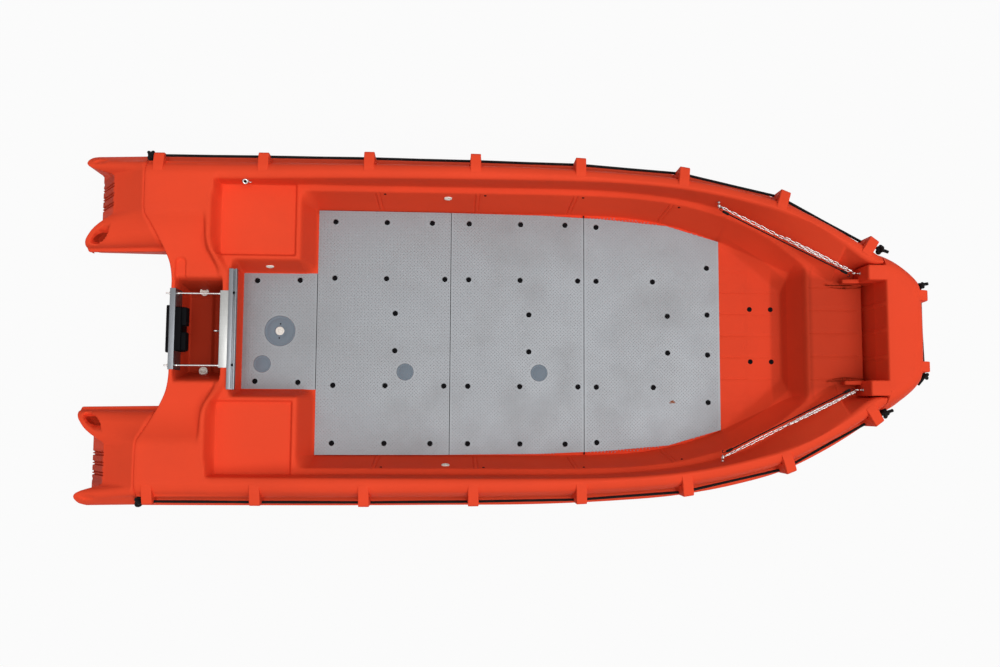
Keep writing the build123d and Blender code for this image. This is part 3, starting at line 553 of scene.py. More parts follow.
# Places: half-breadths of aisle and trays, then stations of box faces, trays, well, riser and door.
HALF_BEAM = cad_high[1]
AISLE, AISLE_TOP = 0.356, 0.402
TRAY_IN = 0.430
BOX_FACE_TOP, BOX_FACE_FOOT = -1.225, -1.158
TRAY_AFT, TRAY_FWD = -1.696, -1.261
AISLE_AFT = -1.598
WELL_AFT, WELL_FWD, WELL_HALF = -1.940, -1.679, 0.302
WELL_SHIFT = 0.011
WELL_FOOT_HALF = 0.244
RISER_FOOT, RISER_TOP = 1.709, 1.797
FLOOR_GROOVE, PLATFORM_GROOVE = 0.1345, 0.1385
WALL_RIBS = [(-0.768, -0.781), (-0.187, -0.183), (0.385, 0.4075), (0.949, 0.9915)]
SILL_X, SEAM_X, CHEEK_SLOT_X = 2.135, 2.180, 1.962
DOOR_HALF, RECESS_HALF = 0.386, 0.292

# Lines that run along the boat, as heights or half-breadths at stations x. They are measured.
crest_height = curve_through([(-2.2, 0.632), (-1.6, 0.652), (-0.9, 0.715), (-0.3, 0.738), (0.5, 0.740),
                              (1.3, 0.757), (2.2, 0.795)])
channel = curve_through([(-2.6, 0.978), (-0.5, 0.976), (0.25, 0.967), (0.6, 0.950), (1.055, 0.908),
                         (1.35, 0.852), (1.645, 0.766), (1.89, 0.646), (2.142, 0.490), (2.2, 0.451)])
rope_line = curve_through([(-2.6, 1.003), (-0.2, 1.003), (0.431, 0.9895), (1.055, 0.940),
                           (1.645, 0.800), (2.1425, 0.5247), (2.25, 0.441)])
crest_edge = curve_through([(-2.2, 0.864), (-1.3, 0.864), (-0.5, 0.8625), (0.0, 0.862), (0.3, 0.861),
                            (0.6, 0.854), (0.8, 0.842), (1.0, 0.822), (1.2, 0.790), (1.4, 0.745),
                            (1.6, 0.687), (1.8, 0.598), (1.967, 0.488), (2.065, 0.415), (2.1, 0.396),
                            (2.2, 0.390)])
ledge_outer = curve_through([(-2.2, 0.852), (-1.3, 0.852), (-1.0, 0.848), (-0.5, 0.848), (0.0, 0.848),
                             (0.3, 0.847), (0.6, 0.840), (0.8, 0.825), (1.0, 0.802), (1.2, 0.762),
                             (1.4, 0.702), (1.6, 0.591), (1.8, 0.438), (1.93, 0.335), (2.2, 0.320)])
ledge_inner = curve_through([(-2.2, 0.815), (-0.5, 0.815), (0.0, 0.815), (0.3, 0.814), (0.6, 0.808),
                             (0.8, 0.796), (1.0, 0.771), (1.2, 0.725), (1.4, 0.655), (1.6, 0.549),
                             (1.742, 0.442), (1.797, 0.402), (1.93, 0.318), (2.2, 0.310)])
wall_foot = curve_through([(-2.2, 0.745), (-0.5, 0.745), (0.0, 0.745), (0.3, 0.744), (0.6, 0.737),
                           (0.8, 0.724), (1.0, 0.691), (1.2, 0.636), (1.33, 0.587), (1.45, 0.528),
                           (1.6, 0.453), (1.742, 0.384), (1.80, 0.370), (1.93, 0.310), (2.2, 0.305)])
stern_line = curve_through([(0, -1.968), (0.235, -1.968), (0.27, -1.968), (0.32, -1.972),
                            (0.383, -1.985), (0.44, -2.008), (0.52, -2.047), (0.60, -2.087),
                            (0.65, -2.112), (0.70, -2.119), (0.77, -2.120), (1.1, -2.120)])


def channel_height(x):
    """Height of the rope channel's middle, which rises a little to the bow."""
    return 0.570 + 0.060 * ramp(x, 0, 2.25, 0.5)


def keel_height(x):
    """Flat amidships, then a parabola up to the bow."""
    return 0.300 * (np.maximum(x - 1.1, 0) / 1.1) ** 2


# %% The inside as a height field
def plane_through(a, b, c):
    """The function z(x, y) of the plane through three points."""
    n = np.cross(np.subtract(b, a), np.subtract(c, a))
    return lambda x, y: a[2] - (n[0] * (x - a[0]) + n[1] * (y - a[1])) / n[2]


# The facet in each forward corner of the floor, through two points on the floor and one above it.
corner_facet = plane_through((1.330, 0.587, FLOOR), (1.715, 0.258, FLOOR), (1.742, 0.384, 0.425))


def groove(y, centres, half=0.008):
    """1 along each centre line and 0 more than `half` away, with a rounded bottom."""
    d = np.min(np.abs(y[..., None] - np.array(centres)), -1)
    return np.clip(1 - (d / half) ** 2, 0, 1) ** 1.5


def inner_height(x, y):
    """Height of the inside at (x, y): floor, boxes, trays, raised stern, well, riser and platform.

    Every step is z + (new height - z) times a product of ramps that is 1 where the step lies.
    """
    side = np.abs(y)
    box = ramp(side, AISLE, AISLE_TOP, 0.010) * (1 - ramp(x, BOX_FACE_TOP, BOX_FACE_FOOT, 0.010))
    box = 1 - (1 - box) * ramp(x, AISLE_AFT - 0.022, AISLE_AFT, 0.008)
    z = FLOOR + (DECK - FLOOR) * box
    tray = ramp(side, TRAY_IN - 0.006, TRAY_IN + 0.004, 0.004)
    tray = tray * ramp(x, TRAY_AFT - 0.012, TRAY_AFT, 0.005)
    tray = tray * (1 - ramp(x, TRAY_FWD, TRAY_FWD + 0.010, 0.004))
    z = z - (DECK - PANEL) * tray
    wall_x = -1.716 + 0.078 * (1 - ramp(side, 0.33, 0.48, 0.05))
    raised = 1 - ramp(x - wall_x, -0.020, 0.006, 0.006)
    rim = ramp(x - wall_x, -0.062, -0.046, 0.008)
    hollow = np.clip((side - 0.44) / 0.225, 0, 1) ** 1.9
    height = (1 - rim) * hollow + rim * ramp(side, 0.30, 0.46, 0.05)
    z = z + raised * (crest_height(x) - DECK) * height
    floor_groove = groove(y, [FLOOR_GROOVE * k for k in (-3, -2, -1, 0, 1, 2, 3)], 0.009)
    z = z - 0.0035 * floor_groove * ramp(x, 1.30, 1.31, 0.003) * (1 - ramp(x, 1.665, 1.675, 0.004))
    facet = corner_facet(x, side)
    z = np.where(x > 1.2, soft_max(z, facet, 0.012), z)
    riser = FLOOR + (PLATFORM_Z - FLOOR) * ramp(x, RISER_FOOT, RISER_TOP, 0.012)
    z = np.where(x > 1.5, soft_max(z, riser, 0.010), z)
    platform_groove = groove(y, [PLATFORM_GROOVE * k for k in (-2, -1, 0, 1, 2)], 0.008)
    z = z - 0.0035 * platform_groove * ramp(x, 1.805, 1.815, 0.004) * (1 - ramp(x, 2.105, 2.115, 0.004))
    well = 1 - ramp(np.abs(y + WELL_SHIFT), WELL_FOOT_HALF, WELL_HALF, 0.010)
    well = well * ramp(x, WELL_AFT - 0.004, WELL_AFT + 0.004, 0.004)
    well = well * (1 - ramp(x, WELL_FWD - 0.005, WELL_FWD + 0.003, 0.004))
    well_floor = WELL_FLOOR - 0.030 * ramp(x, -1.800, -1.788, 0.006)
    z = z - (z - well_floor) * well
    from_arch = np.hypot(x + 1.9185, np.maximum(y - 0.378, 0)) - 0.034
    z = z - 0.016 * (1 - ramp(from_arch, -0.008, 0.000, 0.003)) * ramp(y, 0.27, 0.28)
    return np.where(x > SILL_X, SILL_Z, z)


# %% The sides as rounded sections
def side_corners(x):
    """Corners of the port half-section, from the cockpit floor over the gunwale to the keel."""
    crest, rope_z, low = crest_height(x), channel_height(x), keel_height(x)
    c = channel(x)
    slope = np.hypot(1, (channel(x + 0.01) - channel(x - 0.01)) / 0.02)
    share = c / 0.978
    foot = wall_foot(x)
    aft = 1 - ramp(x, -1.722, TRAY_AFT, 0.006)
    front = ramp(x, BOX_FACE_TOP, BOX_FACE_FOOT, 0.010)
    tray = (1 - aft) * (1 - ramp(x, TRAY_FWD, TRAY_FWD + 0.010, 0.004))
    box_z = DECK - (DECK - PANEL) * tray + aft * (crest - DECK)
    platform = ramp(x, 1.6, 1.85, 0.05)
    inner_z = box_z + front * (LEDGE_IN_Z - DECK) + platform * (PLATFORM_Z - LEDGE_IN_Z)
    outer_z = box_z + front * (LEDGE_OUT_Z - DECK)
    slot = ramp(x, CHEEK_SLOT_X - 0.006, CHEEK_SLOT_X + 0.006, 0.004)
    sill = np.where(x > SILL_X, 1.0, 0.0)
    inner_y, outer_y = ledge_inner(x), ledge_outer(x)
    outer_y = outer_y + slot * (DOOR_HALF - 0.002 - outer_y)
    inner_z, outer_z = inner_z + sill * (SILL_Z - inner_z), outer_z + sill * (SILL_Z - outer_z)
    edge_y = np.maximum(crest_edge(x), DOOR_HALF + 0.002)
    top_y = np.maximum(c - 0.078 * slope, edge_y + 0.010)
    tunnel = low + (0.150 - low * 0.4) * share
    chine = np.maximum(low + 0.09, 0.19)
    gap = 0.016 * ramp(x, -1.156, -1.150) * (1 - ramp(x, 1.320, 1.327))
    # Floor, wall foot, ledge, crest, shoulder, rope channel, lip, topside, chine, tunnel and keel.
    rows = [(foot - 0.03, inner_height(x, foot - 0.03)), (foot, inner_height(x, foot) - gap),
            (inner_y, inner_z), (outer_y, outer_z), (edge_y, crest - 0.012 * (1 - aft)), (top_y, crest),
            (c - 0.036 * slope, crest - 0.021),
            (c - 0.014 * slope, crest - 0.050 - 0.30 * (crest - rope_z - 0.06)), (c, rope_z + 0.006),
            (c, rope_z - 0.035), (c + 0.057 * slope, rope_z - 0.095),
            (c + 0.050 * slope, rope_z - 0.170),
            (c - 0.012 * slope, chine), (0.850 * share, low), (0.690 * share, low + 0.004),
            (0.560 * share, tunnel), (0.330 * share, low + 0.75 * (tunnel - low)), (0.090 * share, low),
            (0 * x, low)]
    corners = np.array([np.stack(np.broadcast_arrays(y, z), -1) for y, z in rows])
    corners[..., 0] = np.minimum(corners[..., 0], HALF_BEAM)
    return corners


# Radii at those corners, and how many points to add on each straight run between them.
SIDE_RADII = [0, 0.007, 0.010, 0.012, 0.016, 0.030, 0.040, 0.035, 0.018, 0.018, 0.016, 0.030, 0.060,
              0.050, 0.045, 0.060, 0.080, 0.050, 0]
SIDE_BETWEEN = [0, 14, 0, 1, 0, 0, 0, 0, 0, 0, 0, 0, 1, 0, 1, 1, 1, 0]


# %% Stations and columns
def spread(*runs):
    """Sorted positions from runs of (start, stop, step)."""
    steps = [np.arange(*run) for run in runs]
    return np.unique(np.concatenate(steps + [[runs[-1][1]]]).round(5))


def hull_stations():
    """Stations along the boat, close together wherever the moulding changes."""
    ribs = [(min(r) - 0.018, max(r) + 0.018, 0.0026) for r in WALL_RIBS]
    stations = spread((-1.947, -1.933, 0.0022), (-1.933, -1.878, 0.004), (-1.878, -1.81, 0.014),
                      (-1.81, -1.78, 0.004), (-1.78, -1.69, 0.008), (-1.73, -1.64, 0.005),
                      (-1.64, -1.628, 0.012), (-1.628, -1.588, 0.004), (-1.588, -1.27, 0.022),
                      (-1.27, -1.245, 0.0035), (-1.245, -1.14, 0.006), (-1.14, 1.29, 0.045), *ribs,
                      (1.295, 1.32, 0.004), (1.32, 1.66, 0.014), (1.66, 1.68, 0.004),
                      (1.68, 1.83, 0.006), (1.83, 1.95, 0.015), (1.95, 1.975, 0.003),
                      (1.975, 2.10, 0.012), (2.10, 2.118, 0.004), (2.118, 2.134, 0.004),
                      (2.1345, 2.1365, 0.001), (2.14, 2.174, 0.0068))
    return stations[np.concatenate([[True], np.diff(stations) > 0.0009])]


STRAIGHT_HALF, WALL_HALF = 0.290, 0.715


def central_columns():
    """Half-breadths of the straight columns, close together at the grooves and the well's edge."""
    grooves = (0, FLOOR_GROOVE, PLATFORM_GROOVE, 2 * FLOOR_GROOVE, 2 * PLATFORM_GROOVE)
    marks = [np.linspace(m - 0.009, m + 0.009, 7) for m in grooves]
    base = np.linspace(0, 0.240, 11)
    edge = [WELL_FOOT_HALF, 0.250, 0.258, STRAIGHT_HALF]
    all_y = np.unique(np.concatenate([base, *marks, edge]).round(4))
    all_y = all_y[(all_y >= 0) & (all_y <= STRAIGHT_HALF)]
    return all_y[np.concatenate([[True], np.diff(all_y) > 0.0016])]


def outer_shares():
    """Shares from the last straight column to the wall's foot, close together at the box walls."""
    runs = [(STRAIGHT_HALF, 0.345, 6), (0.350, 0.410, 9), (0.418, 0.442, 8), (0.46, WALL_HALF, 10)]
    y = np.concatenate([np.linspace(*run) for run in runs])[1:]
    return (y - STRAIGHT_HALF) / (WALL_HALF - STRAIGHT_HALF)


# %% The closed grid
def hull_grid():
    """The whole moulding as a closed grid (station, column, xyz), its stern drawn in to a curve.

    At the stern each column starts on the stern line, and its rows space out to the first station.
    """
    x = hull_stations()
    corner_r = 0.006
    entry = np.linspace(0, 1, 12)[:-1]
    x_out = np.concatenate([(stern_line(1.0) + corner_r) * (1 - entry) + x[0] * entry, x])
    corners = side_corners(x_out)
    side = rounded(corners, SIDE_RADII, 5, SIDE_BETWEEN)
    foot = corners[0, :, 0]
    inner = np.repeat(central_columns()[:, None], len(x_out), 1)
    outer = STRAIGHT_HALF + outer_shares()[:-1, None] * (foot - STRAIGHT_HALF)[None]
    middle_y = np.concatenate([inner, outer])
    middle = np.stack([middle_y, np.zeros_like(middle_y)], -1)
    half = np.concatenate([middle, side]).transpose(1, 0, 2)
    port = np.concatenate([np.broadcast_to(x_out[:, None, None], half.shape[:2] + (1,)), half], -1)
    stern = stern_line(port[..., 1]) + corner_r
    first = len(entry)
    t = np.concatenate([entry, np.ones(len(x))])[:, None]
    port[:first, :, 0] = (stern * (1 - t) + x[0] * t)[:first]
    n = len(middle_y)
    star = port * (1, -1, 1)
    port[:, :n, 2] = inner_height(port[:, :n, 0], port[:, :n, 1])
    star[:, :n, 2] = inner_height(star[:, :n, 0], star[:, :n, 1])
    for half in (port, star):
        add_wall_ribs(half, n)
        thin_out(half, x_out, n)
    loop = np.concatenate([port, star[:, -2:0:-1]], 1)
    return np.concatenate([end_rows(loop[0], corner_r, -1, 0.33), loop,
                           end_rows(loop[-1], corner_r, 1, 0.33)[::-1]])


def add_wall_ribs(half, n):
    """Ribs down the cockpit wall, from foot to top: a low ridge between two fine grooves."""
    wall = half[:, n + 2:n + 25]
    z = np.clip((wall[..., 2] - FLOOR) / (LEDGE_IN_Z - FLOOR), 0, 1)
    for foot, top in WALL_RIBS:
        d = np.abs(wall[..., 0] - foot - (top - foot) * z)
        lift = 0.003 * np.clip(1.5 - 1.5 * (d / 0.009) ** 4, 0, 1)
        lift = lift - 0.005 * np.clip(1 - ((d - 0.0115) / 0.0045) ** 2, 0, 1)
        wall[..., 1] -= np.sign(wall[..., 1]) * lift * np.clip(z * 8, 0, 1) * np.clip((1 - z) * 8, 0, 1)


def thin_out(half, x, n):
    """Lets rows fall together in the columns that don't need them, where their points then merge.

    The rows close to a wall rib serve the wall alone, and those by the well and the riser the inside
    alone. There each row of a group takes the place of the group's first row.
    """
    off_wall = np.r_[0:n - 3, n + 36:half.shape[1]]
    outside = np.r_[n + 66:half.shape[1]]
    groups = [(min(rib) - 0.018, max(rib) + 0.018, 12, off_wall) for rib in WALL_RIBS]
    groups += [(-1.940, -1.140, 3, outside), (1.295, 2.130, 3, outside)]
    for start, stop, size, columns in groups:
        rows = np.flatnonzero((x > start) & (x < stop))
        first = rows[np.arange(len(rows)) // size * size]
        half[rows[:, None], columns] = half[first[:, None], columns]


def end_rows(loop, r, way, middle):
    """Rows that close an end: a quarter round of radius r, then all points drop to one height."""
    rows = []
    for turn in (0, 0.5, 1.0):
        row = loop.copy()
        row[:, 0] += way * r * math.sin(turn * math.pi / 2)
        shrink = np.minimum(r * (1 - math.cos(turn * math.pi / 2)), np.abs(row[:, 2] - middle))
        row[:, 2] -= np.sign(row[:, 2] - middle) * shrink
        rows.insert(0, row)
    last = rows[0].copy()
    last[:, 2] = middle
    return np.array([last] + rows[:-1])

# %% [markdown]
# ## Stern floats
# Each float is a closed shell bolted to the hull at a curved seam. Its section changes little along
# its length, so it is a section carried from the seam to the tail. The tail itself is a surface
# x = G(y, z): a ribbed boarding step that slopes aft, between an outer horn and a rounded inner horn.

# %% Float
STEP_TOP, STEP_FOOT = (-2.343, 0.480), (-2.475, 0.280)
STEP_GROOVES = [0.739, 0.797, 0.855, 0.905]
TAIL_PLAN = curve_through([(0.44, -2.500), (0.455, -2.512), (0.475, -2.522), (0.500, -2.524),
                           (0.530, -2.517), (0.556, -2.500), (0.592, -2.470), (0.620, -2.436),
                           (0.645, -2.398), (0.682, -2.343), (0.72, -2.339), (0.90, -2.339),
                           (0.914, -2.343), (0.935, -2.418), (0.958, -2.488), (0.968, -2.503),
                           (1.016, -2.503), (1.030, -2.491), (1.040, -2.468), (1.06, -2.45)])


def float_corners(t):
    """Corners (half-breadth, height) of the port float's section at share t from tail to seam.

    Each row is a corner's place at the tail and at the seam, up the inner side, over the top and down
    the outer side. A corner between them is tail (1 - t) + seam t.
    """
    rows = [((0.560, 0.060), (0.560, 0.060)), ((0.500, 0.110), (0.490, 0.120)),
            ((0.474, 0.330), (0.468, 0.420)), ((0.464, 0.348), (0.458, 0.438)),
            ((0.464, 0.366), (0.458, 0.458)), ((0.483, 0.372), (0.479, 0.465)),
            ((0.493, 0.415), (0.495, 0.530)), ((0.530, 0.436), (0.532, 0.573)),
            ((0.590, 0.456), (0.595, 0.597)), ((0.668, 0.482), (0.668, 0.632)),
            ((0.900, 0.482), (0.904, 0.632)), ((0.945, 0.478), (0.935, 0.622)),
            ((0.988, 0.464), (0.966, 0.600)), ((1.014, 0.446), (0.978, 0.560)),
            ((1.045, 0.395), (1.034, 0.475)), ((1.034, 0.300), (1.028, 0.400)),
            ((0.975, 0.180), (0.966, 0.190)), ((0.900, 0.060), (0.900, 0.060))]
    ends = np.array(rows)
    return ends[:, 0, None] * (1 - t)[None, :, None] + ends[:, 1, None] * t[None, :, None]


def tail_x(y, z):
    """How far aft the tail reaches: the sloping step, or the horns where they stand further out."""
    share = np.clip((STEP_TOP[1] - z) / (STEP_TOP[1] - STEP_FOOT[1]), -0.05, 1)
    step = STEP_TOP[0] + (STEP_FOOT[0] - STEP_TOP[0]) * share
    pairs = groove(y, [g + d for g in STEP_GROOVES for d in (-0.008, 0.008)], 0.006)
    step = step + 0.014 * pairs * np.clip(share * 12, 0, 1)
    return -soft_max(-step, -TAIL_PLAN(y), 0.006)


def dent(x, y, at, size, turn):
    """An oval dent: 1 in the middle, falling as the cube of the distance to 0 outside the oval."""
    c, s = math.cos(turn), math.sin(turn)
    u = ((x - at[0]) * c + (y - at[1]) * s) / size[0]
    v = ((y - at[1]) * c - (x - at[0]) * s) / size[1]
    return np.clip(1.25 * (1 - (u * u + v * v) ** 1.5), 0, 1)


FINGER_HOLD = ((-2.425, 0.548), (0.072, 0.031), 0.58, 0.085)
TIP_DENT = ((-2.428, 0.988), (0.052, 0.015), 0.05, 0.010)
TIP_PIP = ((-2.466, 0.513), (0.012, 0.012), 0.0, -0.004)


def float_part():
    """The port float: tube rows from seam to tail, then rows that close the tail face."""
    share = np.concatenate([np.linspace(0, 0.60, 9)[:-1], np.linspace(0.60, 0.97, 34), [0.985, 1]])
    runs = [3, 0, 0, 0, 2, 2, 4, 9, 12, 120, 5, 3, 1, 1, 1, 1, 3]
    radii = [0, 0.04, 0.012, 0.008, 0.006, 0.012, 0.04, 0.05, 0.05, 0.014, 0.04, 0.04, 0.03, 0.02, 0.03,
             0.03, 0.05, 0]
    section = rounded(float_corners(1 - share), radii, 4, runs)
    bottom = section[-1:] + (section[:1] - section[-1:]) * np.linspace(0, 1, 36)[1:-1, None, None]
    loop = np.concatenate([section, bottom]).transpose(1, 0, 2)
    seam = stern_line(loop[0, :, 0]) - 0.003
    rows = []
    for k, s in enumerate(share):
        yz = loop[k]
        rows.append(np.column_stack([seam + (tail_x(*loop[-1].T) + 0.007 - seam) * s, yz]))
    end = loop[-1]
    for turn in (0.5, 1.0):
        yz = inset(end, 0.007 * (1 - math.cos(turn * math.pi / 2)))
        rows.append(np.column_stack([tail_x(*yz.T) + 0.007 * (1 - math.sin(turn * math.pi / 2)), yz]))
    middle = 0.26
    rim = rows[-1][:, 1:]
    for s in np.linspace(0, 1, 18)[1:]:
        yz = rim.copy()
        yz[:, 1] = middle + (yz[:, 1] - middle) * (1 - s)
        rows.append(np.column_stack([tail_x(*yz.T), yz]))
    first = rows[0].copy()
    first[:, 2] = middle
    grid = np.array([first] + rows)
    top = grid[..., 2] > 0.36
    for at, size, turn, depth in (FINGER_HOLD, TIP_DENT, TIP_PIP):
        grid[..., 2] -= np.where(top, depth * dent(grid[..., 0], grid[..., 1], at, size, turn), 0)
    return grid.reshape(-1, 3), quads(*grid.shape[:2], wrap_columns=True)

# %% [markdown]
# ## The bow door
# The door closes the bow and folds forward as a boarding step. It is made as a stack of level
# outlines: the back of each outline follows the platform recess and its leaning inner face, and the
# front follows the round nose, drawn in or out with the same shoulder, rope channel and lip as the
# hull. A flat face closes the top.

# %% Door
NOSE = [(2.186, 0.464), (2.215, 0.455), (2.283, 0.424), (2.345, 0.381), (2.395, 0.336), (2.424, 0.300),
        (2.441, 0.255), (2.448, 0.17)]
DOOR_TOP = 0.800
DOOR_RIBS = (-0.154, 0.0, 0.154)


def nose_points():
    """Half of the nose, seam to centre, as a smooth curve through its few marks."""
    marks = np.array(NOSE)
    along = np.concatenate([[0], np.cumsum(np.hypot(*np.diff(marks, axis=0).T))])
    s = np.linspace(0, along[-1], 40)
    x = curve_through(list(zip(along, marks[:, 0])))(s)
    y = curve_through(list(zip(along, marks[:, 1])))(s)
    front = [(2.450, 0.09), (2.4505, 0.03)]
    return np.concatenate([np.stack([x, y], 1), front])


def door_loop(z, draw_in, back_in):
    """The door's outline at one level, anticlockwise from the middle of its inner face."""
    face_x = 2.147 + 0.040 * (z - 0.41) / 0.38 + back_in
    marks = [np.linspace(m - 0.016, m + 0.016, 9) for m in DOOR_RIBS if m >= 0]
    y = np.unique(np.concatenate([np.linspace(0, 0.285, 12), *marks]).round(4))
    y = y[y >= 0]
    from_rib = np.min(np.abs(y[:, None] - np.array(DOOR_RIBS)), 1) / 0.013
    rib = 0.006 * np.clip(1.5 - 1.5 * from_rib ** 4, 0, 1)
    rib = rib * ramp(z, 0.44, 0.455, 0.005) * (1 - ramp(z, 0.755, 0.785, 0.01))
    face = np.stack([face_x - rib, y], 1)
    cheek_x = np.where(z > 0.585, 2.082, 2.150) + back_in
    inner_y, outer_y = RECESS_HALF - 0.001 + back_in, 0.3815 - back_in
    seam_x = SEAM_X + 0.006 + back_in
    turn = [(cheek_x, inner_y), (cheek_x, outer_y), (seam_x, outer_y)]
    turn = np.array([face[-1], (face_x, inner_y), *turn, (seam_x, 0.44)])
    corner = rounded(turn[:, None], [0, 0.006, 0.012, 0.012, 0.008, 0], 4)
    nose = nose_points()
    way = np.gradient(nose, axis=0)
    way /= np.linalg.norm(way, axis=1, keepdims=True)
    nose = nose + np.stack([way[:, 1], -way[:, 0]], 1) * draw_in
    nose[:, 0] = np.maximum(nose[:, 0], seam_x)
    half = np.concatenate([face, corner[1:-1, 0], nose])
    return np.concatenate([half, (half * (1, -1))[:0:-1]])


def door_part():
    """All levels of the door, bottom to top, closed by one flat face at each end.

    A level is (height, how far the front is drawn in, how far the back is drawn in).
    """
    levels = [(0.405, 0.085, 0.004), (0.409, 0.075, 0.0), (0.44, 0.026, 0), (0.47, -0.014, 0),
              (0.49, -0.026, 0), (0.52, -0.031, 0), (0.54, -0.030, 0), (0.56, -0.019, 0),
              (0.58, -0.006, 0), (0.584, -0.004, 0), (0.5855, -0.004, 0), (0.595, 0.0, 0),
              (0.61, 0.001, 0), (0.64, 0.001, 0), (0.66, 0.002, 0), (0.68, 0.006, 0), (0.70, 0.013, 0),
              (0.725, 0.023, 0), (0.75, 0.034, 0), (0.770, 0.046, 0), (0.785, 0.062, 0.0),
              (0.790, 0.070, 0.001), (0.796, 0.086, 0.0035), (0.7985, 0.098, 0.0065),
              (DOOR_TOP - 0.0005, 0.112, 0.010)]
    loops = []
    for z, draw_in, back_in in levels:
        loop = door_loop(z, draw_in, back_in)
        loops.append(np.column_stack([loop, np.full(len(loop), z)]))
    return np.concatenate(loops), capped(len(loops), len(loops[0]))

# %% [markdown]
# ## The big mouldings
# The grids above become four pieces: the hull, its two floats and the bow door. Each stands for one
# solid of the engineering model, whose place and outline it keeps. The starboard float is the port
# one with y turned round. That turns its faces inside out, so `to_mesh` works out the normals again.

# %% Hull, floats and door
hull_points = hull_grid()
piece("hull_moulding", [(hull_points, quads(*hull_points.shape[:2], wrap_columns=True))], "hull_body",
      orange, replaces="hull")
for name, sign in SIDES:
    piece(f"{name}_float_moulding", [sided(float_part(), sign)], "hull_body", orange,
          replaces=f"{name}_stern_float")
arm = soft_loop([(1.987, 0.588), (2.088, 0.588), (2.088, 0.660), (1.987, 0.645)], 0.010)
arm = slab(arm, -0.012, 0.012, 0.004)
arms = [placed(arm, (0, 0.302 * side, 0), (1, 0, 0), (0, 0, 1)) for side in (1, -1)]
piece("bow_door_moulding", [door_part()] + arms, "bow_door_body", orange, replaces="bow_door")

# %% [markdown]
# ## Rope lugs
# Sixteen moulded straps bridge the rope channel, and two more stand on the door. A strap's outline
# starts flush in the gunwale's shoulder, runs out over the rope, turns down and fades into the lip.
# Across the strap the section is a trapezium, because a moulding needs draft to leave its mould.

# %% Lugs
LUG_X = [-2.050, -1.440, -0.820, -0.199, 0.419, 1.033, 1.626, 2.138]
LUG_HALF = 0.030
WIDEST, FOREMOST = 1.0465, 2.484


def strap(path, inward, depth, flare, half=LUG_HALF):
    """A strap: a trapezium carried along a path in (outboard, height), its base pointing inwards."""
    zero = np.zeros(len(path))
    corners = [(-half - flare, depth), (-half + zero, 0.010 + zero), (-half + zero, zero),
               (half + zero, zero), (half + zero, 0.010 + zero), (half + flare, depth)]
    section = np.array([np.stack(np.broadcast_arrays(a, d), -1) for a, d in corners])
    section = rounded(section, [0, 0.006, 0.0075, 0.0075, 0.006, 0], 5, [4, 0, 5, 0, 4])
    across, deep = section[..., 0], section[..., 1]
    spot = path[None] + inward[None] * deep[..., None]
    grid = np.stack([across, spot[..., 0], spot[..., 1]], -1).transpose(1, 0, 2)
    return grid.reshape(-1, 3), quads(*grid.shape[:2], wrap_columns=True)


def lug_profile(crest, rope_z, shoulder, rope, reach=0.019, low_reach=0.014):
    """A lug's outer path, `reach` outside the rope, with its inward directions, depths and flare."""
    top = crest - 0.007
    marks = np.array([[(shoulder - 0.036, top + 0.003)], [(shoulder, top + 0.002)],
                      [(rope + reach, top - 0.026)], [(rope + (reach + low_reach) / 2, top - 0.064)],
                      [(rope + low_reach, rope_z - 0.040)],
                      [(rope + low_reach - 0.008, rope_z - 0.125)], [(rope - 0.02, rope_z - 0.17)]])
    path = rounded(marks, [0, 0.03, 0.020, 0.020, 0.03, 0.02, 0], 5, [1, 2, 0, 4, 2, 1])[:, 0]
    way = np.gradient(path, axis=0)
    way /= np.linalg.norm(way, axis=1, keepdims=True)
    inward = np.stack([way[:, 1], -way[:, 0]], 1)
    s = np.linspace(0, 1, len(path))
    depth = 0.020 + 0.050 * ramp(s, 0.05, 0.45, 0.1) - 0.030 * ramp(s, 0.75, 1.0, 0.1)
    flare = 0.002 + 0.005 * ramp(s, 0.2, 0.55, 0.1)
    return path, inward, depth, flare


def side_lug(x):
    """One port lug in place: its own (along, outboard, height) axes turned to follow the rope line."""
    slope = float(rope_line(x + 0.01) - rope_line(x - 0.01)) / 0.02
    turn = math.atan(slope)
    size = math.hypot(1, slope)
    rope = float(rope_line(x))
    crest, rope_z = float(crest_height(x)), float(channel_height(x))
    points, faces = strap(*lug_profile(crest, rope_z, rope - 0.069, rope))
    along, out, z = points.T
    out = out - rope
    c, s = math.cos(turn), math.sin(turn)
    placed_points = np.stack([x + along * c - out * s, rope + along * s + out * c, z], 1)
    placed_points[:, 1] = np.minimum(placed_points[:, 1], WIDEST)
    return placed_points, faces


for name, sign in SIDES:
    piece(f"{name}_rope_lugs", [sided(side_lug(x), sign) for x in LUG_X], "hull_body", orange)


def door_lug(y):
    """A lug on the front of the door, centred at y."""
    points, faces = strap(*lug_profile(0.792, 0.640, 2.370, 2.468, -0.018, 0.014))
    along, out, z = points.T
    return np.stack([np.minimum(out, FOREMOST), y - along, z], 1), faces


piece("bow_rope_lugs", [door_lug(y) for y in (-0.209, 0.209)], "bow_door_body", orange)

# %% [markdown]
# ## Ropes and knots
# The grab lines are taut, so they run straight from lug to lug. A braid is a round rope whose radius
# swells and shrinks along two families of crossed helices, which is lighter than weaving strands. Each
# line ends in a stopper knot, which is a trefoil curve drawn tight, with a short tail.

# %% Braided ropes
ROPE_R = 0.008


def filled(points, step):
    """A polyline with points added so that no step is longer than `step`."""
    out = [np.array(points[0], float)[None]]
    for a, b in zip(points, points[1:]):
        a, b = np.array(a, float), np.array(b, float)
        n = max(int(np.linalg.norm(b - a) / step), 1)
        out.append(a + (b - a) * (np.arange(1, n + 1) / n)[:, None])
    return np.concatenate(out)


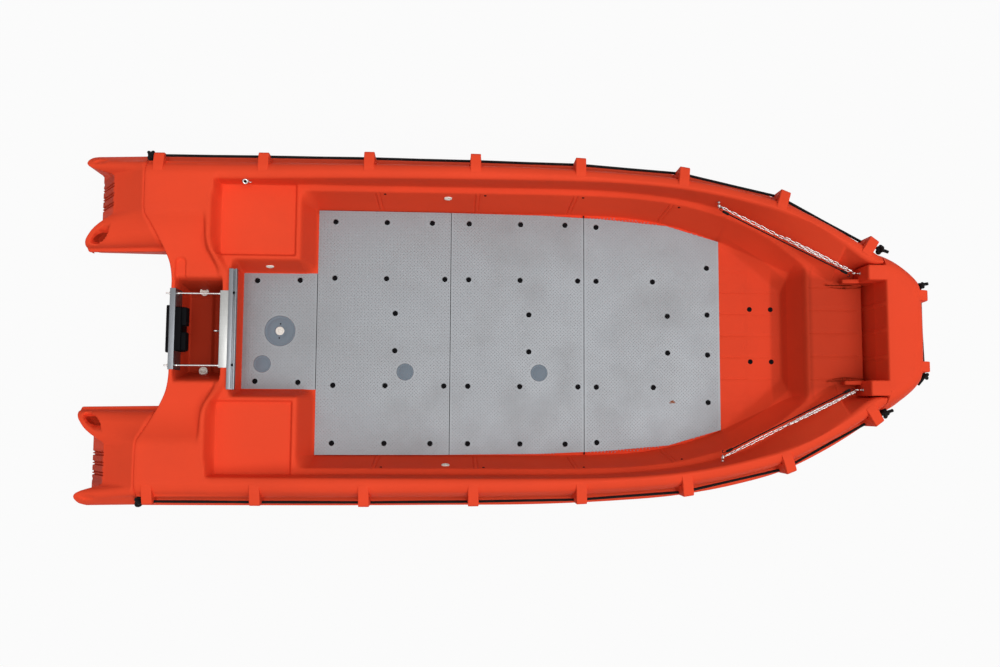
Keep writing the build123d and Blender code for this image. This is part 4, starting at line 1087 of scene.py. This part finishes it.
def braid(points, r, pitch=0.030, strands=4, step=0.0075, n=12):
    """A braided rope along a path: a tube whose radius follows two crossed helices.

    The radius is r (0.90 + 0.13 times the larger of cos^2 of the two phases).
    """
    path = filled(points, step)
    body, faces = tube(path, r, n)
    rings = body[:len(path) * n].reshape(len(path), n, 3)
    length = np.concatenate([[0], np.cumsum(np.linalg.norm(np.diff(path, axis=0), axis=1))])
    angle = np.linspace(0, 2 * math.pi, n, endpoint=False)[None]
    phase = (2 * math.pi * length / pitch)[:, None]
    bulge = np.maximum(np.cos(strands * 0.5 * (angle + phase)) ** 2,
                       np.cos(strands * 0.5 * (angle - phase)) ** 2)
    rings = path[:, None] + (rings - path[:, None]) * (0.90 + 0.13 * bulge)[..., None]
    return rings.reshape(-1, 3), faces


def knot(at, along, tail, r=0.0105, size=0.0080):
    """A stopper knot round the rope's end, and a tail that leaves it.

    The knot is the trefoil (sin t + 2 sin 2t, cos t - 2 cos 2t, -1.25 sin 3t).
    """
    t = np.linspace(0, 2 * math.pi, 73)[:-1]
    loop = [np.sin(t) + 2 * np.sin(2 * t), np.cos(t) - 2 * np.cos(2 * t), -1.25 * np.sin(3 * t)]
    loop = np.stack(loop, 1) * size
    along = np.array(along, float) / np.linalg.norm(along)
    side = np.cross(along, (0.1, 0.2, 1.0))
    side /= np.linalg.norm(side)
    turned = loop @ np.array([side, np.cross(along, side), along])
    body = tube(turned + np.array(at), r * 0.98, 10, closed=True)
    start = np.array(at) + 0.006 * along
    end = braid([start, start + 0.5 * np.array(tail) + (0, 0, 0.004), start + np.array(tail)], r * 0.95)
    return [body, end]


def grab_line(sign):
    """A side line through the lugs, with its two knots. The port one hangs a little further out."""
    flip = np.array([1, sign, 1])
    out = 0.003 * (1 + sign)
    spots = [np.array([x, float(rope_line(x)) + out, float(channel_height(x))]) for x in LUG_X]
    sag = []
    for a, b in zip(spots, spots[1:]):
        sag += [a, (a + b) / 2 - (0, 0, 0.003)]
    sag.append(spots[-1])
    last = (spots[-1] - spots[-2]) / np.linalg.norm(spots[-1] - spots[-2])
    aft, fore = spots[0] - (0.056, 0, 0), np.array([2.232, 0.490 + 0.011 * sign, 0.625])
    path = [aft] + sag + [fore]
    parts = [braid([p * flip for p in path], ROPE_R)]
    parts += knot(fore * flip, last * flip, np.array([0.042, -0.014, 0.004]) * flip)
    parts += knot(aft * flip, np.array([-1, 0, 0.0]) * flip, np.array([-0.012, 0.010, -0.024]) * flip)
    return parts


for name, sign in SIDES:
    piece(f"{name}_braided_grab_line", grab_line(sign), "hull_body", rope_black,
          replaces=f"{name}_grab_line")

bow_ends = [np.array([2.466, -0.258, 0.648]), np.array([2.458, 0.278, 0.648])]
bow_parts = [braid([bow_ends[0], np.array([2.4625, 0, 0.639]), bow_ends[1]], ROPE_R)]
bow_parts += knot(bow_ends[0], (-0.2, -1, 0), (-0.040, -0.046, 0.004))
bow_parts += knot(bow_ends[1], (-0.3, 1, 0), (0.046, 0.008, 0.010))
piece("bow_braided_line", bow_parts, "bow_door_body", rope_black, replaces="bow_line")

# %% [markdown]
# ## Chains, eyes and cords at the door
# The chain on each side is a row of welded links, alternately flat and on edge. A link is a tube
# carried round a stadium: two half circles joined by straights. The eyes stand where the engineering
# model has them, so their places are read from its boxes.

# %% Chains
WIRE_R, LINK_STRAIGHT, LINK_BEND = 0.0025, 0.0110, 0.0070
RING_R, RING_WIRE = 0.013, 0.004


def turned(profile, n=28):
    """A solid of revolution about w: (radius, w) points swept through (r cos a, r sin a, w)."""
    a = np.linspace(0, 2 * math.pi, n, endpoint=False)
    p = np.array(profile, float)
    grid = np.stack([p[:, :1] * np.cos(a), p[:, :1] * np.sin(a), np.repeat(p[:, 1:], n, 1)], -1)
    return grid.reshape(-1, 3), quads(len(p), n, wrap_columns=True)


def stadium(straight, bend, n=7):
    """A closed path of two half circles joined by straights, in the (u, v) plane."""
    a = np.linspace(-math.pi / 2, math.pi / 2, n)
    one = np.stack([straight + bend * np.cos(a), bend * np.sin(a), 0 * a], 1)
    middle = np.array([[0, bend, 0.0]])
    return np.concatenate([one, middle, one * (-1, -1, 1), -middle])


def chain_links(start, end, count, jitter=0.0):
    """Links from start to end, each turned a quarter from the one before, with a little unevenness."""
    way = end - start
    step = way / count
    u = way / np.linalg.norm(way)
    v = np.cross(u, (0, 0, 1))
    v /= np.linalg.norm(v)
    w = np.cross(u, v)
    parts = []
    for k in range(count):
        lean = math.pi / 4 + math.pi / 2 * (k % 2) + jitter * math.sin(3.7 * k + 1)
        side = v * math.cos(lean) + w * math.sin(lean)
        ring = tube(stadium(LINK_STRAIGHT, LINK_BEND), WIRE_R, 8, closed=True)
        parts.append(placed(ring, start + step * (k + 0.5), u, side))
    return parts


def eye_part(centre, way, reach):
    """A forged eye: a ring, a stem along `way`, and a collar where it meets the moulding."""
    centre, way = np.array(centre, float), np.array(way, float)
    side = np.cross(way, (0, 0, 1.0)) if abs(way[2]) < 0.9 else np.array([1.0, 0, 0])
    up = np.cross(way, side)
    hoop = np.column_stack([circle(RING_R, 28), np.zeros(28)])
    ring = placed(tube(hoop, RING_WIRE, 10, closed=True), centre, way, up)
    root = centre + way * (RING_R + reach)
    stem = tube([centre + way * RING_R, root], RING_WIRE * 0.95, 12)
    if np.dot(np.cross(side, up), way) > 0:
        up = -up
    rim = [(0, 0), (0.0105, 0), (0.0110, 0.0008), (0.0105, 0.0022), (0.0060, 0.0040), (0, 0.0040)]
    collar = placed(turned(rim), root, side, up)
    return [ring, stem, collar]


def shackle(a, b, up):
    """A bow shackle from a to b: a U of wire, with a pin through two flattened ears."""
    a, b = np.array(a), np.array(b)
    u = (b - a) / np.linalg.norm(b - a)
    long = np.linalg.norm(b - a)
    t = np.linspace(math.pi / 2, -math.pi / 2, 11)
    bend = np.stack([long - 0.007 + 0.007 * np.cos(t), 0.007 * np.sin(t), 0 * t], 1)
    legs = np.concatenate([[[0, 0.007, 0]], bend, [[0, -0.007, 0]]])
    pin = tube([(0, -0.0125, 0), (0, 0.0125, 0)], 0.0026, 10)
    head = tube([(0, 0.0105, 0), (0, 0.0145, 0)], 0.0048, 12)
    ears = [tube([(0, s * 0.007 - 0.0022, 0), (0, s * 0.007 + 0.0022, 0)], 0.0056, 14) for s in (-1, 1)]
    return [placed(p, a, u, up) for p in [tube(legs, 0.0026, 9), pin, head] + ears]


def eye_centre(node, axis, sign):
    """The middle of an eye's ring, from its engineering box: the ring lies on the box's `sign` side."""
    low, high = [np.array(c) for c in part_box(node)]
    centre = (low + high) / 2
    centre[axis] = (low if sign < 0 else high)[axis] - sign * (RING_R + RING_WIRE)
    return centre


for name, sign in SIDES:
    hull_eye = eye_centre(f"{name}_hull_eye", 1, -sign)
    door_eye = eye_centre(f"{name}_door_eye", 0, -1)
    way = (door_eye - hull_eye) / np.linalg.norm(door_eye - hull_eye)
    piece(f"{name}_forged_hull_eye", eye_part(hull_eye, (0, sign, 0), 0.009), "hull_body", steel,
          replaces=f"{name}_hull_eye")
    piece(f"{name}_forged_door_eye", eye_part(door_eye, (1, 0, 0), 0.021), "bow_door_body", steel,
          replaces=f"{name}_door_eye")
    run = chain_links(hull_eye + way * 0.024, door_eye - way * 0.030, 27, 0.25)
    run += shackle(hull_eye + way * 0.004, hull_eye + way * 0.032, (0, 0, 1))
    piece(f"{name}_welded_chain", run, "hull_body", steel, replaces=f"{name}_chain")
    slack = door_eye + (0, 0, 0.022) - way * 0.020
    piece(f"{name}_welded_slack_chain", chain_links(slack, slack - way * 14 * 0.0315, 14, 0.35),
          f"{name}_slack_chain_body", steel, replaces=f"{name}_slack_chain")


# %% Shock cords
def cord_hook(at, way, up):
    """A moulded ferrule on the cord's end with a bent wire hook."""
    ferrule = turned([(0, -0.020), (0.0060, -0.020), (0.0078, -0.017), (0.0080, 0.010), (0.0062, 0.021),
                      (0, 0.021)], 18)
    t = np.linspace(0, 1.25 * math.pi, 14)
    curl = np.stack([0.0075 * (1 - np.cos(t)), 0 * t, 0.034 + 0.0075 * np.sin(t)], 1)
    wire = tube(np.concatenate([[[0, 0, 0.010], [0, 0, 0.024]], curl]), 0.0019, 8)
    side = np.cross(way, up)
    return [placed(p, at, side, np.cross(way, side)) for p in (ferrule, wire)]


for name, sign in SIDES:
    hull_eye = eye_centre(f"{name}_hull_eye", 1, -sign)
    door_eye = eye_centre(f"{name}_door_eye", 0, -1)
    a = hull_eye + (0.040, -0.042 * sign, 0)
    b = door_eye + (-0.060, 0.008 * sign, 0)
    way = (b - a) / np.linalg.norm(b - a)
    cord = [braid([a, (a + b) / 2 - (0, 0, 0.006), b], 0.004, 0.014, 4, 0.005, 10)]
    cord += cord_hook(a, -way, (0, 0, 1)) + cord_hook(b, way, (0, 0, 1))
    piece(f"{name}_elastic_cord", cord, "hull_body", rope_black, replaces=f"{name}_shock_cord")

# %% [markdown]
# ## The floor
# The plates come from the engineering model. Their tread is a field of small lozenges, each turned a
# quarter from its neighbours, left out round the bolts, the hatch and the covers. A bump pattern
# could stand in for it, but real lozenges catch the light on their slopes, and eight points and
# seven faces each keep thousands of them cheap. Bolts and lids are solids of revolution.

# %% Tread, bolts, hatch and covers
PLATE_TOP = 0.340
HATCH = (-1.370, 0.0, 0.0925)
COVERS = [(-1.472, -0.201, 0.0515), (-0.611, -0.243, 0.0515), (0.206, -0.243, 0.0515)]
# Bolt places are for the port side, and each has a mirror image to starboard.
BOLTS = [(-1.046, 0.675), (-0.732, 0.675), (-0.455, 0.675), (-0.228, 0.675), (0.090, 0.675),
         (0.366, 0.675), (0.560, 0.665), (-1.045, 0.327), (-0.731, 0.327), (-0.375, 0.327),
         (-0.229, 0.327), (0.088, 0.327), (0.445, 0.327), (0.559, 0.327), (0.911, 0.327),
         (-0.675, 0.114), (0.143, 0.114), (1.002, 0.114), (1.251, 0.417), (1.251, 0.124),
         (-1.512, 0.306), (-1.255, 0.311)]
BOW_BOLTS = [(1.519, 0.163), (1.651, 0.163)]
PLATES = {"aft_floor_plate": (-1.592, -1.152), "after_middle_floor_plate": (-1.148, -0.341),
          "forward_middle_floor_plate": (-0.337, 0.481), "forward_floor_plate": (0.485, 1.327)}
CELL = 0.0150


def lozenges(x0, x1, half_at):
    """Raised lozenges on a plate between two stations: one per cell of a grid turned by 45 degrees."""
    n = int(2.2 / CELL)
    i, j = [m.ravel() for m in np.meshgrid(np.arange(-n, n), np.arange(-n, n))]
    x = (i - j) * CELL * math.sqrt(0.5) + (x0 + x1) / 2
    y = (i + j) * CELL * math.sqrt(0.5)
    keep = (x > x0 + 0.008) & (x < x1 - 0.008) & (np.abs(y) < half_at(x) - 0.012)
    for cx, cy, r in [HATCH] + COVERS:
        keep &= np.hypot(x - cx, y - cy) > r + 0.009
    for cx, cy in BOLTS:
        keep &= np.hypot(x - cx, np.abs(y) - cy) > 0.026
    i, j, x, y = i[keep], j[keep], x[keep], y[keep]
    long, wide, high = 0.0062, 0.0021, 0.0009
    shape = np.array([(-long, 0, 0), (-long / 2, wide, 0), (long / 2, wide, 0), (long, 0, 0),
                      (long / 2, -wide, 0), (-long / 2, -wide, 0), (-long * 0.45, 0, high),
                      (long * 0.45, 0, high)])
    turn = np.where((i + j) % 2 == 0, math.pi / 4, -math.pi / 4)[:, None]
    px = shape[None, :, 0] * np.cos(turn) - shape[None, :, 1] * np.sin(turn) + x[:, None]
    py = shape[None, :, 0] * np.sin(turn) + shape[None, :, 1] * np.cos(turn) + y[:, None]
    points = np.stack([px, py, np.broadcast_to(shape[:, 2] + PLATE_TOP, px.shape)], -1).reshape(-1, 3)
    one = [(2, 1, 6, 7), (5, 4, 7, 6), (1, 0, 6), (0, 5, 6), (3, 2, 7), (4, 3, 7), (0, 1, 2, 3, 4, 5)]
    faces = [tuple(8 * k + v for v in f) for k in range(len(x)) for f in one]
    return points, faces


def aisle_half(x):
    """Half-breadth of the plate between the boxes, which is the same all along it."""
    return np.full_like(x, AISLE - 0.002)


for node, (x0, x1) in PLATES.items():
    points, faces = lozenges(x0, x1, aisle_half if node.startswith("aft_") else wall_foot)
    mesh = bpy.data.meshes.new(node + "_tread")
    mesh.from_pydata(points.tolist(), [], faces)
    link(node.replace("floor_plate", "tread"), mesh, "hull_body", tread, smooth=False)
    print(node, len(points) // 8, "lozenges")

seams = []
for x, half in ((-1.150, 0.352), (-0.339, 0.742), (0.483, 0.738)):
    strip = soft_loop(rectangle(x - 0.004, x + 0.004, -half, half), 0.001)
    seams.append(slab(strip, 0.3352, 0.3380, 0.0005))
piece("seam_strips", seams, "hull_body", black)
BOLT = [(0, 0.0030), (0.0024, 0.0030), (0.0030, 0.0052), (0.0080, 0.0056), (0.0130, 0.0046),
        (0.0158, 0.0022), (0.0164, 0)]


def both_sides(rows):
    """Each (x, y) with its mirror image."""
    return [(x, side * y) for x, y in rows for side in (1, -1)]


bolt = turned(BOLT[::-1], 20)
piece("floor_bolts", [placed(bolt, (x, y, PLATE_TOP)) for x, y in both_sides(BOLTS)]
      + [placed(bolt, (x, y, FLOOR)) for x, y in both_sides(BOW_BOLTS)], "hull_body", black)
washer = turned([(0.0160, 0), (0.0195, 0), (0.0195, 0.0004), (0.0191, 0.0007), (0.0160, 0.0007)], 24)
piece("floor_washers", [placed(washer, (x, y, PLATE_TOP)) for x, y in both_sides(BOLTS)], "hull_body",
      tread)


def cover(x, y, r, grooves_at):
    """A flush cover: a disc with a soft rim and shallow rings pressed into it."""
    marks = sorted(grooves_at, reverse=True)
    rows = [(r - 0.0005, -0.004), (r, -0.0005), (r - 0.0015, 0.0012), (r - 0.004, 0.0014)]
    for m in marks:
        rows += [(m + 0.0025, 0.0014), (m + 0.001, 0.0004), (m - 0.001, 0.0004), (m - 0.0025, 0.0014)]
    return placed(turned(rows + [(0, 0.0014)], 64), (x, y, PLATE_TOP))


piece("hatch_lid", [cover(*HATCH, [0.078, 0.034])], "hull_body", grey, replaces="inspection_hatch")
piece("flush_cover_lids", [cover(x, y, r, [0.040]) for x, y, r in COVERS], "hull_body", grey,
      replaces="flush_covers")
plug = turned([(0.0262, 0), (0.0262, 0.003), (0.0245, 0.0048), (0.0150, 0.0052), (0.0140, 0.0040),
               (0.0120, 0.0040), (0.0110, 0.0056), (0, 0.0060)], 36)
piece("hatch_plug", [placed(plug, (HATCH[0], 0, PLATE_TOP + 0.001))], "hull_body", white)
screw = turned([(0.0046, 0), (0.0044, 0.0014), (0.0030, 0.0020), (0.0016, 0.0020), (0.0012, 0.0010),
                (0, 0.0010)], 16)
screws = [placed(screw, (HATCH[0] + 0.003 * s, 0.043 * s, PLATE_TOP + 0.001)) for s in (1, -1)]
piece("hatch_screws", screws, "hull_body", black)

# %% [markdown]
# ## Round the motor well
# The motor hangs on two walls. Folded aluminium caps guard their tops, rubber pads take the clamp,
# tie rods hold the walls together and a slotted rail runs along the forward one. Folded and moulded
# parts are outlines pulled to length by `slab`, and screwed or forged parts are turned or tubes.

# %% Transom fittings
def along_y(outline, half, edge=0.0008):
    """An (x, z) outline pulled from y = -half to half. The slab's w axis is -y, so x x z = -y."""
    return placed(slab(np.array(outline, float), -half, half, edge), (0, -WELL_SHIFT, 0), (1, 0, 0),
                  (0, 0, 1))


cap_out = soft_loop([(-1.973, 0.414), (-1.973, 0.564), (-1.939, 0.564), (-1.939, 0.414),
                     (-1.9425, 0.414), (-1.9425, 0.5605), (-1.9695, 0.5605), (-1.9695, 0.414)],
                    0.0045, 5)
piece("outer_cap_plate", [along_y(cap_out, 0.237)], "hull_body", dull_aluminium,
      replaces="transom_outer_cap")
cap_in = soft_loop([(-1.683, 0.470), (-1.683, 0.564), (-1.634, 0.564), (-1.634, 0.5605),
                    (-1.6795, 0.5605), (-1.6795, 0.470)], 0.004, 5)
piece("inner_cap_plate", [along_y(cap_in, 0.226)], "hull_body", aluminium, replaces="transom_inner_cap")
rail = [(-1.629, 0.560), (-1.629, 0.590), (-1.6035, 0.590), (-1.6035, 0.586), (-1.607, 0.586),
        (-1.607, 0.572), (-1.589, 0.572), (-1.589, 0.586), (-1.5925, 0.586), (-1.5925, 0.590),
        (-1.583, 0.590), (-1.583, 0.560)]
piece("slotted_rail", [along_y(soft_loop(rail, 0.0012, 3), 0.352, 0.0006)], "hull_body", dull_aluminium,
      replaces="aft_rail")
knob = turned([(0.0050, 0), (0.0050, 0.016), (0.0072, 0.0165), (0.0068, 0.0200), (0.0040, 0.0212),
               (0, 0.0215)], 20)
piece("rail_knobs", [placed(knob, (-1.598, y, 0.572)) for y in (-0.223, 0.2)], "hull_body", black,
      replaces="rail_plugs")

ROD_Z, ROD_Y = 0.525, 0.200


def rod_parts(y):
    """A tie rod: threaded at both ends, with a nut and a washer on each face."""
    x = np.linspace(-2.005, -1.639, 280)
    threaded = (x < -1.935) | (x > -1.705)
    r = 0.0047 + np.where(threaded, 0.0004 * np.sign(np.sin(2 * math.pi * x / 0.0052)), 0.0003)
    parts = [tube(np.stack([x, 0 * x + y, 0 * x + ROD_Z], 1), r, 12)]
    nut = slab(soft_loop(circle(0.0092, 6), 0.0012, 3), -0.004, 0.004, 0.0010)
    disc = slab(circle(0.0125, 24), -0.0010, 0.0010, 0.0004)
    for part, spots in ((nut, (-1.9815, -1.9305, -1.6915)), (disc, (-1.9752, -1.9372, -1.6852))):
        parts += [placed(part, (at, y, ROD_Z), (0, 1, 0), (0, 0, 1)) for at in spots]
    return parts


piece("threaded_tie_rods", rod_parts(ROD_Y) + rod_parts(-ROD_Y - 0.023), "hull_body", steel,
      replaces="transom_tie_rods")


def pad(y0, y1, z0, z1, x0, x1, r=0.012, edge=0.004):
    """A rubber pad facing along x, with rounded corners and edges."""
    loop = soft_loop(rectangle(y0, y1, z0, z1), r, 5)
    return placed(slab(loop, x0, x1, edge), (0, 0, 0), (0, 1, 0), (0, 0, 1))


outer_pad = [pad(-0.150, 0.127, 0.415, 0.562, -1.990, -1.973)]
outer_pad += [pad(y - 0.004, y + 0.004, 0.425, 0.552, -1.9925, -1.989, 0.0035, 0.0015)
              for y in np.linspace(-0.130, 0.105, 9)]
piece("outer_rubber_pad", outer_pad, "hull_body", black, replaces="motor_pad_outer")
inner_pad = [pad(-0.140, 0.118, 0.420, 0.560, -1.939, -1.905, 0.012, 0.003)]
inner_pad += [pad(y - 0.055, y + 0.055, 0.480, 0.552, -1.906, -1.876, 0.014, 0.005)
              for y in (-0.084, 0.062)]
piece("inner_rubber_pad", inner_pad, "hull_body", black, replaces="motor_pad_inner")

# %% Plugs, caps and eyes
def drain_cap(r, oval=1.0):
    """A screw-in drain cap: a rim, a dished face and a slot bar, squashed into an oval."""
    disc, faces = turned([(r, 0), (r, 0.004), (r - 0.003, 0.0065), (r - 0.008, 0.0065),
                          (r - 0.010, 0.0040), (0, 0.0040)], 36)
    outline = soft_loop(rectangle(-r * 0.55, r * 0.55, -0.0028, 0.0028), 0.002)
    bar, bar_faces = slab(outline, 0.003, 0.0075, 0.001)
    return joined([(disc * (1, oval, 1), faces), (bar * (1, oval, 1), bar_faces)])


def on_wall(part, foot, top, share, x, sign):
    """A part seated on a wall that leans outwards from foot to top, both (half-breadth, height)."""
    foot, top = np.array(foot), np.array(top)
    y, z = foot + (top - foot) * share
    up = np.array([0, sign * (top - foot)[0], (top - foot)[1]])
    return placed(part, (x, sign * y, z), (sign * 1.0, 0, 0), up)


tub = turned([(0.026, -0.012), (0.026, 0.010), (0.024, 0.0125), (0.019, 0.0125), (0.017, 0.010),
              (0.017, 0.001), (0, 0.001)], 36)
bar = slab(soft_loop(rectangle(-0.017, 0.017, -0.003, 0.003), 0.002), 0.001, 0.009, 0.001)
caps = []
for s in (1, -1):
    spot = (-1.835, 0.243 * s - 0.003, 0.283 + 0.016 * (s + 1))
    caps.append(placed(joined([tub, bar]), spot, (1, 0, -0.12), (0, 1, s * 0.42)))
piece("well_drain_caps", caps, "hull_body", white, replaces="well_drain_plugs")
cockpit_foot, cockpit_top = (0.745, FLOOR), (0.815, LEDGE_IN_Z)
caps = [on_wall(drain_cap(0.024, 0.72), cockpit_foot, cockpit_top, 0.75, -0.360, s) for s in (1, -1)]
caps.append(on_wall(drain_cap(0.024, 0.72), (AISLE, FLOOR), (AISLE_TOP, DECK), 0.5, -1.420, 1))
piece("wall_caps", caps, "hull_body", white, replaces="wall_drain_caps")

bolt_eye = eye_centre("well_eye_bolt", 0, -1)
piece("forged_well_eye", eye_part(bolt_eye, (1, 0, 0), 0.019), "hull_body", steel,
      replaces="well_eye_bolt")
# This round eye sits on the slope of the moulding, so it stands off a little from the plain one.
hook_eye = eye_centre("deck_hook", 1, -1) + (-0.014, 0.008, 0.018)
turns = np.linspace(0, math.pi * 1.5, 12)
ring = [(0.0125 + 0.0052 * math.cos(a), 0.004 + 0.0052 * math.sin(a)) for a in turns]
eye_way = ((1, 0, 0), (0, 0.85, 0.52))
pad_eye = placed(turned([(0.0205, -0.004), (0.0205, 0.0005), (0.0178, 0.0010)] + ring, 32), hook_eye,
                 *eye_way)
finger = tube([(0.016, 0.000, 0.004), (0.026, -0.004, 0.007), (0.037, -0.003, 0.006)], 0.0026, 8)
finger = placed(finger, hook_eye, *eye_way)
piece("forged_deck_eye", [pad_eye, finger], "hull_body", steel, replaces="deck_hook")
# The black disc under the eye's ring is painted shade: it stands in for the dark inside of the bore.
bore_shade_disc = turned([(0.0095, -0.003), (0.0095, 0.0012), (0, 0.0012)], 24)
piece("deck_eye_bore_shade", [placed(bore_shade_disc, hook_eye, *eye_way)], "hull_body", black)

# %% Drain holes along the wall as black discs of painted shade, and pips on the door
# Each drain hole is a black disc with a low rim. The black middle is painted shade that stands in for
# the dark inside of the hole.
hole_shade_disc = turned([(0.0075, -0.002), (0.0075, 0.0006), (0.0068, 0.0012), (0.0055, 0.0012), (0.0048, 0.0002),
               (0, 0.0002)], 18)
hole_shade_discs = []
for _, x in WALL_RIBS:
    x = x + 0.046
    rise = ((float(wall_foot(x)), FLOOR), (float(ledge_inner(x)), LEDGE_IN_Z))
    hole_shade_discs += [on_wall(hole_shade_disc, *rise, 0.90, x, s) for s in (1, -1)]
piece("wall_drain_hole_shade_discs", hole_shade_discs, "hull_body", black)
pip = turned([(0.0085, -0.002), (0.0080, 0.0015), (0.0050, 0.0040), (0, 0.0048)], 18)
piece("door_pips", [placed(pip, (2.150, y, 0.452), (0, 1, 0), (0.1, 0, -1.0)) for y in DOOR_RIBS],
      "bow_door_body", orange)

# %% Finishes of the parts kept from the engineering model
KEPT = {tread: list(PLATES), steel: ["door_hinge_fixed", "door_hinge_moving", "door_hinge_pin"]}
for finish, nodes in KEPT.items():
    for node in nodes:
        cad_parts[node].material_slots[0].material = finish

# %% [markdown]
# ## Camera, light and floor
# The camera looks almost straight down from six metres. The light is a wide pale sky with a soft sun,
# at a level where a colour renders about as it is written. The floor lights nothing but looks white,
# to the camera and in polished metal, and so does the sky.

# %% Camera
cam = added("camera", bpy.data.cameras.new("camera"))
cam.data.lens, cam.data.sensor_width = 35.6, 36.0
cam.data.clip_end = 200
cam.location = (-0.335, -0.5398, 6.37)
cam.rotation_euler = [math.radians(a) for a in (5.07, -2.88, 0.30)]
scene.camera = cam

# %% Sky and sun
def seen_rays(net):
    """1 for rays from the camera, a mirror or glass, which all see white, and 0 for the others."""
    rays = net.node("ShaderNodeLightPath").outputs
    mirrored_rays = net.sum("MAXIMUM", rays["Is Glossy Ray"], rays["Is Transmission Ray"])
    return net.sum("MAXIMUM", rays["Is Camera Ray"], mirrored_rays)


world = bpy.data.worlds.new("pale_sky")
scene.world = world
world.use_nodes = True
net = Net(world.node_tree)
up = net.node("ShaderNodeSeparateXYZ",
              (0, net.node("ShaderNodeTexCoord").outputs["Generated"])).outputs["Z"]
soft_box = net.span(up, 0.0, 1.0, 0.10, 0.58)
background = world.node_tree.nodes["Background"]
net.feed(background.inputs["Strength"], net.span(seen_rays(net), 0, 1, soft_box, 1.0))
background.inputs["Color"].default_value = (1, 1, 1, 1)
sun = added("sun", bpy.data.lights.new("sun", "SUN"))
sun.data.energy, sun.data.angle = 1.95, 0.9
sun.rotation_euler = (0.20, 0.27, 0)
scene.view_settings.view_transform = "Standard"

# %% Floor
floor_mesh = bpy.data.meshes.new("floor")
floor_mesh.from_pydata([(-20, -20, 0), (20, -20, 0), (20, 20, 0), (-20, 20, 0)], [], [(0, 1, 2, 3)])
floor = added("floor", floor_mesh)
floor_paint, net = new_material("white_floor", Base_Color=(0.42, 0.42, 0.42, 1), Roughness=0.9)
net.shader["Specular IOR Level"].default_value = 0.0
parts = floor_paint.node_tree.nodes
glow = parts.new("ShaderNodeEmission").outputs[0]
shown = net.node("ShaderNodeMixShader", (0, net.sum("MULTIPLY", seen_rays(net), 0.94)), (2, glow))
net.feed(shown.inputs[1], parts["Principled BSDF"].outputs[0])
net.feed(parts["Material Output"].inputs["Surface"], shown.outputs[0])
floor_mesh.materials.append(floor_paint)
